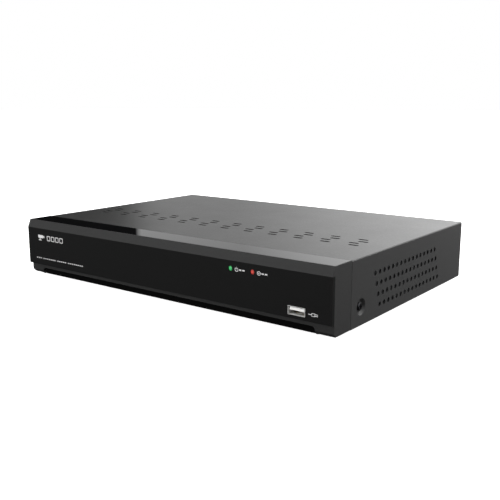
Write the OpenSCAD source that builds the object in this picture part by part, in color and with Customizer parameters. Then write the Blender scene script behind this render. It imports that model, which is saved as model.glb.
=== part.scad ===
// Compact recorder for four network cameras: a folded steel case with a moulded front,
// one hard disk, a small fan, a main board with the rear sockets and a front board.
// +X is to the right of someone facing the front, +Y runs to the rear, +Z is up.
// The origin is at the bottom centre of the whole recorder, on the surface it stands on.

/* [Case] */
// Width over the cover's side walls
case_w = 300; // [298:1:400]
// Depth from the front panel's face to the back edge of the cover
case_d = 209; // [206:1:280]
// Height of the case above its feet
case_h = 46; // [46:1:70]
// Thickness of the steel sheet
sheet_t = 0.8; // [0.6:0.1:1]
// Outside radius of the cover's bends
bend_r = 1.2; // [1:0.1:3]
// Slack between the cover and the chassis flanges inside it
cover_gap = 0.3; // [0.2:0.05:0.5]
// Hairline seam between the front moulding and the cover
seam_gap = 0.3; // [0.2:0.05:0.6]
// Height of the cover's turned-down rear edge
rear_lip_h = 3.6; // [2.4:0.1:4]
// Height of the three screw tabs on that edge
rear_tab_h = 8.4; // [7.8:0.1:9]
// Width of the screw tabs
rear_tab_w = 16; // [12:0.5:20]
// Height of the chassis flanges beside the tray
flange_h = 6; // [4:0.5:6.5]
// Height of the rubber feet
foot_h = 2; // [1.8:0.1:6]
// Diameter of the rubber feet
foot_d = 16; // [12:1:20]
// Distance of each foot's centre from the case's edges
foot_inset = 22; // [18:1:30]

/* [Front moulding] */
// Depth of the moulding from the panel's face to the cover
bezel_d = 23.5; // [22:0.5:30]
// Wall thickness of the moulding
bezel_wall = 2.2; // [1.8:0.1:2.6]
// How far the top edge is set back by the bevel
bevel_d = 2.8; // [2:0.1:3.4]
// Height of the bevel
bevel_h = 6.3; // [4:0.1:8]
// Thickness of the front panel, which stands proud of the lip below it
panel_t = 2.9; // [2:0.1:3.2]
// Height of the front panel's lower edge above the case's underside
panel_z = 8.7; // [8:0.1:10]
// Thickness of the glossy strip on top
trim_t = 1; // [0.8:0.1:1.2]
// Land left in front of and beside the glossy strip
trim_land = 0.6; // [0.4:0.1:1.5]
// Height of the recess under the lip
recess_h = 5.3; // [4.8:0.1:6]
// Depth of the recess under the lip
recess_d = 2.5; // [2:0.5:12]
// Distance of the recess from each end of the moulding
recess_end = 14; // [10:0.5:20]
// Corner radius of the recess
recess_r = 2.5; // [1:0.5:3]
// Radius of the moulding's two lower corners
corner_r = 0.5; // [0.4:0.1:1.5]
// Chamfer along the moulding's lower front edge
lip_chamfer = 2.6; // [0.8:0.1:2.8]
// Height of the indicator lights above the case's underside
light_z = 34.2; // [30:0.1:36]
// Distance of the power light from the right end
power_light_x = 79.4; // [70:0.1:90]
// Distance of the disk light from the right end
disk_light_x = 60.9; // [50:0.1:68]
// Diameter of the light pipes
light_d = 3.2; // [2.5:0.1:4]
// Distance of the front USB socket from the right end
front_usb_x = 26.1; // [20:0.1:30]
// Height of the front USB socket's centre above the case's underside
front_usb_z = 13.8; // [13.5:0.1:16]
// Depth from the panel's face to the front board
front_board_y = 15.5; // [15:0.5:17]

/* [Vents and screws] */
// Diameter of the holes in the side vents
vent_d = 3.4; // [2:0.1:3.6]
// Holes in one row
vent_count = 16; // [8:1:18]
// Rows of holes
vent_rows = 4; // [2:1:4]
// Spacing of the holes along a row
vent_pitch_y = 6.55; // [5:0.05:7]
// Spacing of the rows
vent_pitch_z = 7.65; // [6:0.05:8]
// How far each row sits behind the one above it
vent_stagger = 2.6; // [0:0.1:3]
// First hole of the top row, behind the panel's face
vent_first_y = 55.75; // [54:0.25:70]
// Height of the bottom row above the case's underside
vent_first_z = 8.7; // [8.5:0.1:10]
// Length of the top slots
slot_l = 8; // [6:0.5:9]
// Width of the top slots
slot_w = 3; // [1.2:0.1:4]
// Columns of top slots
slot_cols = 12; // [6:1:12]
// Rows of top slots
slot_rows = 4; // [2:1:6]
// Spacing of the columns
slot_pitch_x = 23.1; // [18:0.1:23.5]
// Spacing of the rows
slot_pitch_y = 7.15; // [5:0.05:9]
// Sideways shift between one row and the next
slot_stagger = 3.7; // [0:0.1:6]
// First row of slots, behind the panel's face
slot_first_y = 67.6; // [50:0.1:80]
// Middle of the slot pattern, left of the case's middle
slot_offset = 2.6; // [0:0.1:5]
// Distance of the side screws behind the panel's face
side_screw_y = 36.9; // [34:0.1:42]
// Height of the side screws above the case's underside
side_screw_z = 12.8; // [12:0.1:16]
// Outside diameter of the dimple around each side screw
dimple_d = 11.5; // [10:0.1:13]
// Depth of the dimple
dimple_depth = 1.9; // [1.2:0.1:2.4]
// Thread diameter of the case, fan and board screws
screw_d = 3; // [2.5:0.1:3]
// Head diameter of the screws
screw_head_d = 5.6; // [5:0.1:6]
// Head height of the screws
screw_head_h = 1.6; // [1:0.1:1.8]

/* [Boards] */
// Width of the main board
board_w = 183.5; // [183:0.5:183.5]
// Depth of the main board
board_d = 120; // [115:1:130]
// Thickness of both circuit boards
board_t = 1.6; // [1:0.2:1.6]
// Height of the main board above the tray
board_lift = 5; // [4:0.5:6]
// Side of the square heatsink
heatsink_w = 40; // [30:1:44]
// Height of the heatsink
heatsink_h = 14; // [8:0.5:16]
// Fins on the heatsink
heatsink_fins = 9; // [5:1:12]
// Width of the front board
front_board_w = 84; // [80:1:90]

/* [Rear sockets] */
// How far the audio sockets reach behind the cover
rear_reach = 9; // [8:0.5:10]
// How far the metal socket shells stand behind the rear wall
shell_proud = 1.2; // [0.9:0.1:2]
// Clearance round each socket in the rear wall
port_gap = 0.3; // [0.2:0.05:0.5]
// Distance between the monitor socket's two hexagonal nuts
monitor_nut_pitch = 25; // [24.9:0.1:25.1]
// Bore of the hexagonal nuts
monitor_nut_bore = 2.4; // [2.2:0.1:2.6]

/* [Hard disk] */
// Length of the drive
drive_l = 147; // [146:0.5:148]
// Width of the drive
drive_w = 101.6; // [101.2:0.2:101.8]
// Height of the drive
drive_h = 26.1; // [25.5:0.1:26.5]
// Height of the drive above the tray
drive_lift = 3; // [2.5:0.5:4]
// Gap between the drive and the chassis flange beside it
drive_side_gap = 5.5; // [5:0.5:6.5]
// Diameter of the platters
platter_d = 95; // [90:1:95]
// Thickness of each platter
platter_t = 1.27; // [0.8:0.01:1.5]
// Height from one platter to the next
platter_pitch = 4.5; // [4.3:0.1:4.6]
// Reach of the head arm from its pivot to the heads
arm_reach = 50; // [48:0.5:51]
// Radial running clearance of the turning parts on their shafts
run_gap = 0.05; // [0.02:0.01:0.09]

/* [Fan] */
// Side of the square fan frame
fan_w = 40; // [40:1:42]
// Depth of the fan
fan_d = 10; // [10:0.5:12]
// Spacing of the fan's screws
fan_screw_pitch = 32; // [32:0.1:33]
// Blades on the rotor
fan_blades = 7; // [5:1:9]
// Gap between the blade tips and the frame
fan_tip_gap = 0.8; // [0.6:0.1:1.5]
// Diameter of the rotor's hub
fan_hub_d = 17; // [15:0.5:20]

/* [Power switch] */
// Width of the switch's flange
switch_w = 21; // [20.5:0.1:22]
// Height of the switch's flange
switch_h = 15; // [14.5:0.1:16]
// Full tilt of the rocker from on to off
switch_tilt = 16; // [10:1:16]

/* [Hidden] */
$fn = 48;
eps = 0.5;

// Case planes
half_w = case_w / 2;
front_y = -(case_d + rear_reach) / 2;
rear_y = front_y + case_d;
floor_z = foot_h;
top_z = floor_z + case_h;
tray_z = floor_z + sheet_t;
bezel_back = front_y + bezel_d;
chassis_half_w = half_w - sheet_t - cover_gap;
inner_half_w = chassis_half_w - sheet_t;
wall_y = bezel_back + sheet_t;
panel_y = rear_y - sheet_t;
rear_inner_y = panel_y - sheet_t;

// Front moulding
panel_top = case_h - bevel_h;
light_zs = floor_z + light_z;
usb_w = 13.14;
usb_h = 5.72;
usb_skin = 0.32;
usb_hole_gap = 0.25;
front_usb_cx = half_w - front_usb_x;
front_usb_cz = floor_z + front_usb_z;
front_board_x0 = half_w - 10 - front_board_w;
front_board_z0 = floor_z + 8.5;
front_board_z1 = floor_z + 39;
front_board_hole = 4;
pipe_l = 9.5;
dome_r = light_d;
boss_r = 3;
pilot_r = 1.2;

// Main board
board_x0 = -inner_half_w + 3;
board_x1 = board_x0 + board_w;
board_y1 = rear_inner_y - 0.5;
board_y0 = board_y1 - board_d;
board_z = tray_z + board_lift;
board_top = board_z + board_t;
board_holes = [for (x = [8, 107, board_w - 8], y = [8, board_d - 34]) [board_x0 + x, board_y0 + y]];

// Middle of each rear socket, from the main board's left edge
inlet_x = board_x0 + 11;
switch_x = board_x0 + 33;
camera_ports_x = board_x0 + 66;
lan_x = board_x0 + 93.5;
video_x = board_x0 + 113;
monitor_x = board_x0 + 139.5;
rear_usb_cx = board_x0 + 164.5;
audio_x = board_x0 + 177.5;
rear_usb_cz = board_top + usb_h / 2 + 0.6;
monitor_z = board_top + 6.8;
switch_z = board_top + 14;
inlet_z = board_top + 6.5;
audio_zs = [board_top + 7, board_top + 21];
shell_y = panel_y + shell_proud;

// Network sockets: [middle x, middle z, latch direction]
port_w = 15.8;
port_h = 13.2;
port_depth = 18;
port_skin = 0.3;
plug_hole_w = 11.8;
plug_hole_h = 7;
plug_hole_depth = 12.5;
latch_w = 6;
latch_h = 1.9;
ports = concat([[lan_x, board_top + port_h / 2, -1]],
    [for (sx = [-1, 1], row = [0, 1])
        [camera_ports_x + sx * port_w / 2, board_top + port_h * (row + 0.5), row * 2 - 1]]);

// Hard disk
drive_x0 = inner_half_w - drive_side_gap - drive_w;
drive_y0 = wall_y + 6;
drive_y1 = drive_y0 + drive_l;
drive_z0 = tray_z + drive_lift;
drive_cover_t = 1.2;
drive_body_h = drive_h - drive_cover_t;
drive_wall = 1.9;
bay_z = 7;
spindle_at = [drive_x0 + drive_w / 2, drive_y0 + drive_w / 2 + 0.2];
pivot_at = spindle_at + [29.2, 50];
platter_z = drive_z0 + 11;
arm_t = 1;
arm_zs = [for (k = [0:2]) platter_z + platter_t / 2 - platter_pitch / 2 - arm_t / 2 + k * platter_pitch];
spindle_shaft_r = 3;
pivot_shaft_r = 2.5;
hub_r = 12.5;
pivot_barrel_r = 7;
coil_reach = 16;
park_angle = 183.7;
arm_swing = 34;
mount_holes = [for (sx = [-1, 1], y = [41.28, 85.73])
    [drive_x0 + drive_w / 2 + sx * 95.25 / 2, drive_y1 - y]];

// Fan
fan_x = drive_x0 + drive_w / 2 + 2;
fan_z = (tray_z + top_z - sheet_t) / 2;
fan_y0 = rear_inner_y - fan_d;
fan_bore_r = fan_w / 2 - 1;
fan_base_t = 2.4;
fan_shaft_r = 1;

// Rocker switch
rocker_half_w = 7.3;
rocker_half_h = 4.4;
well_half_w = 8.2;
well_half_h = 4.7;
switch_flange_t = 1.8;
rocker_pin_r = 1.2;
rocker_pivot_y = panel_y + 0.4;

// Plugs on the internal leads
data_plug_x = drive_x0 + 15;
drive_power_x = drive_x0 + 38;
plug_y0 = drive_y1 + 1;
drive_plug_z0 = drive_z0 + 3.2;
plug_top = drive_plug_z0 + 8;
header_x = board_x1 - 10;
data_header_y = board_y0 + 62;
power_header_y = board_y0 + 40;
fan_header = [board_x1 - 10, board_y0 + 73];
front_header = [board_x0 + 138, board_y0 + 8];
switch_header = [board_x0 + 22, board_y0 + 78];
header_h = 9;
plug_h = 6;
header_plug_top = board_top + header_h + plug_h;

// Draws a box from its lowest to its highest corner
module slab(low, high) translate(low) cube(high - low);

// Extrudes an outline drawn in Y and Z across the case's width
module across(width) rotate([90, 0, 90]) linear_extrude(width, center = true) children();

// Extrudes an outline drawn in X and Z from y0 to y1
module along(y0, y1) translate([0, y1, 0]) rotate([90, 0, 0]) linear_extrude(y1 - y0) children();

// Turns a shape drawn on +Z to point at the rear, or to the front
module facing_rear(at) translate(at) rotate([-90, 0, 0]) children();
module facing_front(at) translate(at) rotate([90, 0, 0]) children();

function arc(at, r, a0, a1, n = 6) =
    [for (i = [0:n]) at + r * [cos(a0 + (a1 - a0) * i / n), sin(a0 + (a1 - a0) * i / n)]];
function rounded(w, h, r) = concat(
    arc([w / 2 - r, h / 2 - r], r, 0, 90), arc([r - w / 2, h / 2 - r], r, 90, 180),
    arc([r - w / 2, r - h / 2], r, 180, 270), arc([w / 2 - r, r - h / 2], r, 270, 360));

// Pan-head screw with a cross recess: the head stands on +Z, the thread points down
module screw(length, head_d = screw_head_d, head_h = screw_head_h, d = screw_d) {
    edge = head_h * 0.35;
    difference() {
        union() {
            rotate_extrude() polygon([[0, 0], [head_d / 2, 0], [head_d / 2, head_h - edge],
                [head_d / 2 - edge, head_h], [0, head_h]]);
            translate([0, 0, -length]) cylinder(d = d, h = length + 0.01);
        }
        for (a = [0, 90]) rotate([0, 0, a])
            translate([-head_d * 0.3, -0.35, head_h * 0.4]) cube([head_d * 0.6, 0.7, head_h]);
    }
}

// Dimple pressed into a sheet, its outer face at z = 0 and its screw hole on the axis
module dimple(rim) rotate_extrude() polygon([
    [screw_d / 2 + 0.2, -dimple_depth], [dimple_d / 2 - dimple_depth * 0.8, -dimple_depth],
    [dimple_d / 2, 0], [dimple_d / 2 + rim, 0], [dimple_d / 2 + rim, -sheet_t],
    [dimple_d / 2 - sheet_t * 0.4, -sheet_t],
    [dimple_d / 2 - dimple_depth * 0.8 - sheet_t * 0.4, -dimple_depth - sheet_t],
    [screw_d / 2 + 0.2, -dimple_depth - sheet_t]]);

// Places its children at both side screws, +Z pointing out of the case
module at_side_screws(inset) for (side = [-1, 1])
    translate([side * (half_w - inset), front_y + side_screw_y, floor_z + side_screw_z])
        rotate([0, side * 90, 0]) children();

// ---- Case ----

module top_cover() color("#4b4c4e") {
    y0 = bezel_back + seam_gap;
    outer = concat([[half_w, floor_z]], arc([half_w - bend_r, top_z - bend_r], bend_r, 0, 90),
        arc([bend_r - half_w, top_z - bend_r], bend_r, 90, 180), [[-half_w, floor_z]]);
    inner_r = bend_r - sheet_t;
    inner = concat([[sheet_t - half_w, floor_z]],
        arc([bend_r - half_w, top_z - bend_r], inner_r, 180, 90),
        arc([half_w - bend_r, top_z - bend_r], inner_r, 90, 0), [[half_w - sheet_t, floor_z]]);
    difference() {
        union() {
            along(y0, rear_y) polygon(concat(outer, inner));
            slab([bend_r - half_w, rear_y - sheet_t, top_z - rear_lip_h],
                [half_w - bend_r, rear_y, top_z - sheet_t / 2]);
            for (x = rear_screw_xs) slab([x - rear_tab_w / 2, rear_y - sheet_t, top_z - rear_tab_h],
                [x + rear_tab_w / 2, rear_y, top_z - sheet_t / 2]);
        }
        side_vent_holes();
        top_slot_holes();
        at_side_screws(0) translate([0, 0, -sheet_t - eps])
            cylinder(d = dimple_d + 0.6, h = sheet_t + 2 * eps);
        for (x = rear_screw_xs) facing_rear([x, rear_y - sheet_t - eps, rear_screw_z])
            cylinder(d = screw_d + 0.4, h = sheet_t + 2 * eps);
    }
    at_side_screws(0) dimple(0.8);
}

rear_screw_xs = [-half_w + 18, 0, half_w - 18];
rear_screw_z = top_z - rear_tab_h / 2 - sheet_t / 2;

module side_vent_holes() for (row = [0:vent_rows - 1], k = [0:vent_count - 1])
    translate([0, front_y + vent_first_y + k * vent_pitch_y + row * vent_stagger,
        floor_z + vent_first_z + (vent_rows - 1 - row) * vent_pitch_z])
        rotate([0, 90, 0]) cylinder(d = vent_d, h = case_w + 2 * eps, center = true, $fn = 24);

module top_slot_holes() for (row = [0:slot_rows - 1], col = [0:slot_cols - 1])
    translate([(col - (slot_cols - 1) / 2) * slot_pitch_x - slot_offset
        + (row % 2 == 0 ? 1 : -1) * slot_stagger / 2,
        front_y + slot_first_y + row * slot_pitch_y, top_z - sheet_t - eps])
        linear_extrude(sheet_t + 2 * eps) polygon(rounded(slot_l, slot_w, slot_w / 2 - 0.01));

module chassis() color("#8d9093") difference() {
    union() {
        slab([-chassis_half_w, bezel_back, floor_z], [chassis_half_w, panel_y, tray_z]);
        for (side = [0, 1]) mirror([side, 0, 0]) {
            slab([inner_half_w, bezel_back, floor_z],
                [chassis_half_w, panel_y, floor_z + flange_h]);
            slab([inner_half_w, bezel_back, floor_z],
                [chassis_half_w, front_y + side_screw_y + 10, floor_z + side_screw_z + 9]);
        }
        slab([-chassis_half_w, bezel_back, floor_z],
            [chassis_half_w, wall_y, top_z - sheet_t - cover_gap]);
        slab([-chassis_half_w, rear_inner_y, floor_z],
            [chassis_half_w, panel_y, top_z - sheet_t - cover_gap]);
        for (p = board_holes) translate([p.x, p.y, floor_z])
            cylinder(r = boss_r, h = sheet_t + board_lift);
        for (p = mount_holes) translate([p.x, p.y, floor_z])
            cylinder(r = 5, h = sheet_t + drive_lift);
        at_side_screws(sheet_t + cover_gap) dimple(0.8);
    }
    at_side_screws(sheet_t + cover_gap) {
        translate([0, 0, -dimple_depth - sheet_t - eps])
            cylinder(r = screw_d / 2, h = dimple_depth + sheet_t + 2 * eps);
        dimple_hollow();
    }
    for (p = board_holes) translate([p.x, p.y, floor_z - eps])
        cylinder(r = pilot_r, h = sheet_t + board_lift + 2 * eps);
    for (p = mount_holes) translate([p.x, p.y, floor_z - eps])
        cylinder(r = 2, h = sheet_t + drive_lift + 2 * eps);
    for (x = rear_screw_xs) facing_rear([x, rear_inner_y - eps, rear_screw_z])
        cylinder(d = screw_d, h = sheet_t + 2 * eps);
    front_wall_windows();
    rear_wall_cutouts();
    tray_vents();
}

// Clears the mouth of a dimple in the flat flange
module dimple_hollow() rotate_extrude() polygon([[0, eps], [0, -dimple_depth],
    [dimple_d / 2 - dimple_depth * 0.8, -dimple_depth], [dimple_d / 2, 0], [dimple_d / 2, eps]]);

clip_xs = [-half_w + 40, -half_w + 110, half_w - 130, half_w - 50];
clip_w = 8;
clip_t = 1.4;
clip_l = 3.2;
clip_z = top_z - bezel_wall - trim_t - clip_t;

module front_wall_windows() {
    // Window that the front board's lead passes through
    slab([front_board_x0 + 4, bezel_back - eps, floor_z + 18],
        [front_board_x0 + 22, wall_y + eps, floor_z + 32]);
    for (x = clip_xs) slab([x - clip_w / 2 - 0.3, bezel_back - eps, clip_z - 0.3],
        [x + clip_w / 2 + 0.3, wall_y + eps, clip_z + clip_t + 0.3]);
}

module tray_vents() for (k = [0:9])
    translate([drive_x0 + 24 + k * 6, drive_y0 + 28, floor_z - eps])
        linear_extrude(sheet_t + 2 * eps) polygon(rounded(2, 30, 0.99));

// Closes the outline of a socket hole in the rear wall
module rear_cut(x0, x1, z0, z1) slab([x0 - port_gap, rear_inner_y - eps, z0 - port_gap],
    [x1 + port_gap, panel_y + eps, z1 + port_gap]);

module rear_wall_cutouts() {
    rear_cut(lan_x - port_w / 2, lan_x + port_w / 2, board_top, board_top + port_h);
    rear_cut(camera_ports_x - port_w, camera_ports_x + port_w, board_top, board_top + 2 * port_h);
    rear_cut(video_x - 7.5, video_x + 7.5, board_top + 0.4, board_top + 6.4);
    rear_cut(monitor_x - 8.6, monitor_x + 8.6, monitor_z - 4.3, monitor_z + 4.3);
    rear_cut(rear_usb_cx - usb_w / 2, rear_usb_cx + usb_w / 2,
        rear_usb_cz - usb_h / 2, rear_usb_cz + usb_h / 2);
    rear_cut(switch_x - switch_w / 2 + 1, switch_x + switch_w / 2 - 1,
        switch_z - switch_h / 2 + 1.1, switch_z + switch_h / 2 - 1.1);
    facing_rear([inlet_x, rear_inner_y - eps, inlet_z]) cylinder(r = 4.2, h = sheet_t + 2 * eps);
    for (z = audio_zs) facing_rear([audio_x, rear_inner_y - eps, z])
        cylinder(r = audio_collar_r + port_gap, h = sheet_t + 2 * eps);
    for (side = [-1, 1]) facing_rear([monitor_x + side * monitor_nut_pitch / 2,
        rear_inner_y - eps, monitor_z]) cylinder(r = 1.7, h = sheet_t + 2 * eps);
    facing_rear([ground_x, rear_inner_y - eps, ground_z]) cylinder(d = screw_d, h = 2);
    fan_grille_cut();
    for (k = [0:5]) slab([audio_x + 14 + k * 4, rear_inner_y - eps, floor_z + 12],
        [audio_x + 15.6 + k * 4, panel_y + eps, floor_z + 34]);
}

ground_x = fan_x + fan_w / 2 + 12;
ground_z = floor_z + 10;

// Three rings of slots in front of the fan, crossed by four ribs
module fan_grille_cut() facing_rear([fan_x, rear_inner_y - eps, fan_z]) {
    difference() {
        for (k = [0:2]) rotate_extrude() translate([6 + k * 4.6, 0]) square([3, 2]);
        for (a = [45, 135]) rotate([0, 0, a]) cube([fan_w, 2.2, 8], center = true);
    }
    for (a = [0:90:270]) rotate([0, 0, a]) translate([fan_screw_pitch / 2, fan_screw_pitch / 2, 0])
        cylinder(r = screw_d / 2 + 0.2, h = 2);
}

module rubber_feet() color("#191919") for (sx = [-1, 1], y = foot_ys)
    translate([sx * (half_w - foot_inset), y, 0]) rotate_extrude() polygon([[0, 0],
        [foot_d / 2 - 1, 0], [foot_d / 2, 1], [foot_d / 2, foot_h], [0, foot_h]]);

foot_ys = [bezel_back + foot_inset, rear_y - foot_inset];

module case_screws() color("#2b2b2c") {
    at_side_screws(dimple_depth) screw(4);
    for (x = rear_screw_xs) facing_rear([x, rear_y, rear_screw_z]) screw(4);
    facing_rear([ground_x, panel_y + 0.8, ground_z]) {
        screw(5, head_d = 6.5, head_h = 2.2);
        translate([0, 0, -0.8]) difference() {
            cylinder(r = 4.5, h = 0.8);
            translate([0, 0, -1]) cylinder(d = screw_d, h = 3);
        }
    }
}

// ---- Front moulding ----

bezel_profile = [[front_y, floor_z + panel_top], [front_y + bevel_d, top_z], [bezel_back, top_z],
    [bezel_back, floor_z], [front_y + panel_t + lip_chamfer, floor_z],
    [front_y + panel_t, floor_z + lip_chamfer], [front_y + panel_t, floor_z + panel_top]];

// Front outline of the moulding, its two lower corners rounded
bezel_outline = concat([[half_w, top_z], [-half_w, top_z]],
    arc([corner_r - half_w, floor_z + corner_r], corner_r, 180, 270),
    arc([half_w - corner_r, floor_z + corner_r], corner_r, 270, 360));

// Outline of the recess, its upper corners rounded
module recess_outline(grow) translate([0, floor_z]) polygon(concat([[recess_half + grow, -eps]],
    arc([recess_half - recess_r, recess_h - recess_r], recess_r + grow, 0, 90),
    arc([recess_r - recess_half, recess_h - recess_r], recess_r + grow, 90, 180),
    [[-recess_half - grow, -eps]]));
recess_half = half_w - recess_end;

module front_bezel() color("#232427") {
    boss_y0 = front_y + panel_t + bezel_wall;
    difference() {
        union() {
            difference() {
                intersection() {
                    across(case_w) polygon(bezel_profile);
                    along(front_y - eps, bezel_back + eps) polygon(bezel_outline);
                }
                slab([bezel_wall - half_w, boss_y0, floor_z + bezel_wall],
                    [half_w - bezel_wall, bezel_back + eps, top_z - bezel_wall - trim_t]);
            }
            // Roof and back of the recess under the lip
            intersection() {
                along(boss_y0 - eps, front_y + panel_t + recess_d + 1.6) recess_outline(1.6);
                slab([-half_w + 1, front_y, floor_z], [half_w - 1, bezel_back, top_z]);
            }
            for (x = clip_xs) slab([x - clip_w / 2, boss_y0, clip_z],
                [x + clip_w / 2, bezel_back + clip_l, clip_z + clip_t]);
            for (p = front_board_holes) facing_front([p.x, front_y + front_board_y, p.y])
                cylinder(r = boss_r, h = front_board_y - panel_t - bezel_wall + 0.2);
        }
        along(front_y - eps, front_y + panel_t + recess_d) recess_outline(0);
        slab([trim_land - half_w, front_y + bevel_d + trim_land, top_z - trim_t],
            [half_w - trim_land, bezel_back + eps, top_z + eps]);
        for (p = front_board_holes) facing_front([p.x, front_y + front_board_y + eps, p.y])
            cylinder(r = pilot_r, h = 8);
        front_openings();
    }
}

front_board_holes = [for (x = [front_board_hole, front_board_w - front_board_hole],
    z = [front_board_z0 + front_board_hole, front_board_z1 - front_board_hole])
    [front_board_x0 + x, z]];

// Holes for the light pipes and the front socket, through the panel and the wall behind it
module front_openings() {
    for (x = [half_w - power_light_x, half_w - disk_light_x])
        facing_front([x, front_y + 8, light_zs]) cylinder(d = light_d + 0.2, h = 10);
    slab([front_usb_cx - usb_w / 2 - usb_hole_gap, front_y - 1, front_usb_cz - usb_h / 2 - usb_hole_gap],
        [front_usb_cx + usb_w / 2 + usb_hole_gap, front_y + 8, front_usb_cz + usb_h / 2 + usb_hole_gap]);
}

module front_panel() color("#0b0b0c") difference() {
    slab([-half_w, front_y, floor_z + panel_z], [half_w, front_y + panel_t, floor_z + panel_top]);
    front_openings();
}

module top_trim() color("#050506") slab(
    [trim_land - half_w + 0.1, front_y + bevel_d + trim_land + 0.1, top_z - trim_t],
    [half_w - trim_land - 0.1, bezel_back, top_z]);

module light_pipe(from_right) facing_front([half_w - from_right, front_y + pipe_l, light_zs])
    rotate_extrude() polygon(concat([[0, 0], [light_d / 2 + 0.6, 0], [light_d / 2 + 0.6, 1.5],
        [light_d / 2, 1.5]], arc([0, pipe_l - dome_r], dome_r, acos(light_d / 2 / dome_r), 90, 5)));

module power_light_pipe() color("#43d67c") light_pipe(power_light_x);
module disk_light_pipe() color("#e0443c") light_pipe(disk_light_x);

module indicator_leds() color("#e8e6dc") for (x = [power_light_x, disk_light_x])
    slab([half_w - x - 1, front_y + pipe_l + 0.3, light_zs - 0.7],
        [half_w - x + 1, front_y + front_board_y, light_zs + 0.7]);

module front_board() color("#1c5a38") difference() {
    slab([front_board_x0, front_y + front_board_y, front_board_z0],
        [front_board_x0 + front_board_w, front_y + front_board_y + board_t, front_board_z1]);
    for (p = front_board_holes) facing_front([p.x, front_y + front_board_y + board_t + eps, p.y])
        cylinder(r = screw_d / 2 + 0.1, h = board_t + 2 * eps);
}

// Socket shell with its mouth at y = 0, reaching back along -Y
module usb_shell(depth) difference() {
    slab([-usb_w / 2, -depth, -usb_h / 2], [usb_w / 2, 0, usb_h / 2]);
    slab([usb_skin - usb_w / 2, -depth + 1, usb_skin - usb_h / 2],
        [usb_w / 2 - usb_skin, eps, usb_h / 2 - usb_skin]);
}

module usb_shells() color("#c9ccd0") {
    translate([front_usb_cx, front_y + 0.1, front_usb_cz]) mirror([0, 1, 0])
        usb_shell(front_board_y - 0.1);
    translate([rear_usb_cx, shell_y, rear_usb_cz]) usb_shell(usb_depth);
}
usb_depth = 14;

// Tongue of a socket, hung from the back wall just below the shell's top
module usb_tongue(depth) union() {
    slab([-5.5, -depth + 1, 0.1], [5.5, -0.8, 1.94]);
    slab([usb_skin - usb_w / 2 + 0.05, -depth + 1, usb_skin - usb_h / 2 + 0.05],
        [usb_w / 2 - usb_skin - 0.05, -9.5, usb_h / 2 - usb_skin - 0.05]);
}

module usb_tongues() color("#e6e6e4") {
    translate([front_usb_cx, front_y + 0.1, front_usb_cz]) mirror([0, 1, 0])
        usb_tongue(front_board_y - 0.1);
    translate([rear_usb_cx, shell_y, rear_usb_cz]) usb_tongue(usb_depth);
}

module board_screws() color("#b9bcc0") {
    for (p = board_holes) translate([p.x, p.y, board_top]) screw(5, d = pilot_r * 2);
    for (p = front_board_holes) facing_rear([p.x, front_y + front_board_y + board_t, p.y])
        screw(8, d = pilot_r * 2);
}

// ---- Main board ----

module mainboard() color("#1c5a38") difference() {
    slab([board_x0, board_y0, board_z], [board_x1, board_y1, board_top]);
    for (p = board_holes) translate([p.x, p.y, board_z - eps])
        cylinder(r = screw_d / 2 + 0.1, h = board_t + 2 * eps);
}

processor_at = [board_x0 + 122, board_y0 + 44];
processor_h = 2;
module processor() color("#202124") translate([processor_at.x, processor_at.y, board_top])
    translate([-12, -12, 0]) cube([24, 24, processor_h]);

module heatsink() color("#9fa3a8") translate([processor_at.x - heatsink_w / 2,
    processor_at.y - heatsink_w / 2, board_top + processor_h]) {
    cube([heatsink_w, heatsink_w, 3]);
    for (k = [0:heatsink_fins - 1])
        translate([k * (heatsink_w - 1.2) / (heatsink_fins - 1), 0, 0])
            cube([1.2, heatsink_w, heatsink_h]);
}

// Chips on the main board: [x, y, width, depth, height] from its front left corner
chips = [[95, 36, 9, 13.5, 1.2], [95, 54, 9, 13.5, 1.2], [148, 36, 9, 13.5, 1.2],
    [148, 54, 9, 13.5, 1.2], [118, 8, 8, 6, 1.6], [60, 68, 14, 14, 1.4], [38, 30, 10, 10, 1.2]];
module board_chips() color("#26272a") for (c = chips)
    translate([board_x0 + c[0] - c[2] / 2, board_y0 + c[1] - c[3] / 2, board_top])
        cube([c[2], c[3], c[4]]);

// Electrolytic capacitors: [x, y, diameter, height]
caps = [[14, 26, 10, 16], [14, 40, 10, 16], [28, 26, 8, 12], [28, 38, 8, 12],
    [62, 18, 8, 12], [74, 18, 8, 12], [86, 10, 6.3, 8]];
module capacitors() color("#3a3d46") for (c = caps)
    translate([board_x0 + c[0], board_y0 + c[1], board_top]) difference() {
        cylinder(d = c[2], h = c[3]);
        translate([0, 0, 1.6]) rotate_extrude() translate([c[2] / 2 - 0.4, 0]) square([1, 0.8]);
    }

module power_coils() color("#4a4a4c") for (p = [[46, 16], [46, 44], [74, 36]])
    translate([board_x0 + p[0] - 6, board_y0 + p[1] - 6, board_top]) {
        cube([12, 12, 6]);
        translate([6, 6, 6]) cylinder(d = 8, h = 0.6);
    }

module line_transformers() color("#1d1d1f") for (k = [0:4])
    translate([(k < 4 ? camera_ports_x - 30 + k * 13 : lan_x - 5), board_y1 - 40, board_top])
        cube([12, 14, 6.5]);

cell_at = [board_x0 + 163, board_y0 + 20];
cell_r = 10;
cell_z = board_top + 1.2;
module coin_cell() color("#c5c8cc") translate([cell_at.x, cell_at.y, cell_z])
    cylinder(r = cell_r, h = 3.2);

module cell_holder() color("#1a1a1c") translate([cell_at.x, cell_at.y, board_top])
    difference() {
        cylinder(r = cell_r + 1.8, h = 4);
        translate([0, 0, cell_z - board_top]) cylinder(r = cell_r + 0.2, h = 5);
        translate([-3, 0, cell_z - board_top]) cube([6, 20, 5]);
    }

module buzzer() color("#18181a") translate([board_x0 + 152, board_y0 + 84, board_top])
    difference() {
        cylinder(r = 6, h = 8.5);
        translate([0, 0, 6]) cylinder(r = 1, h = 5);
    }

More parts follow.
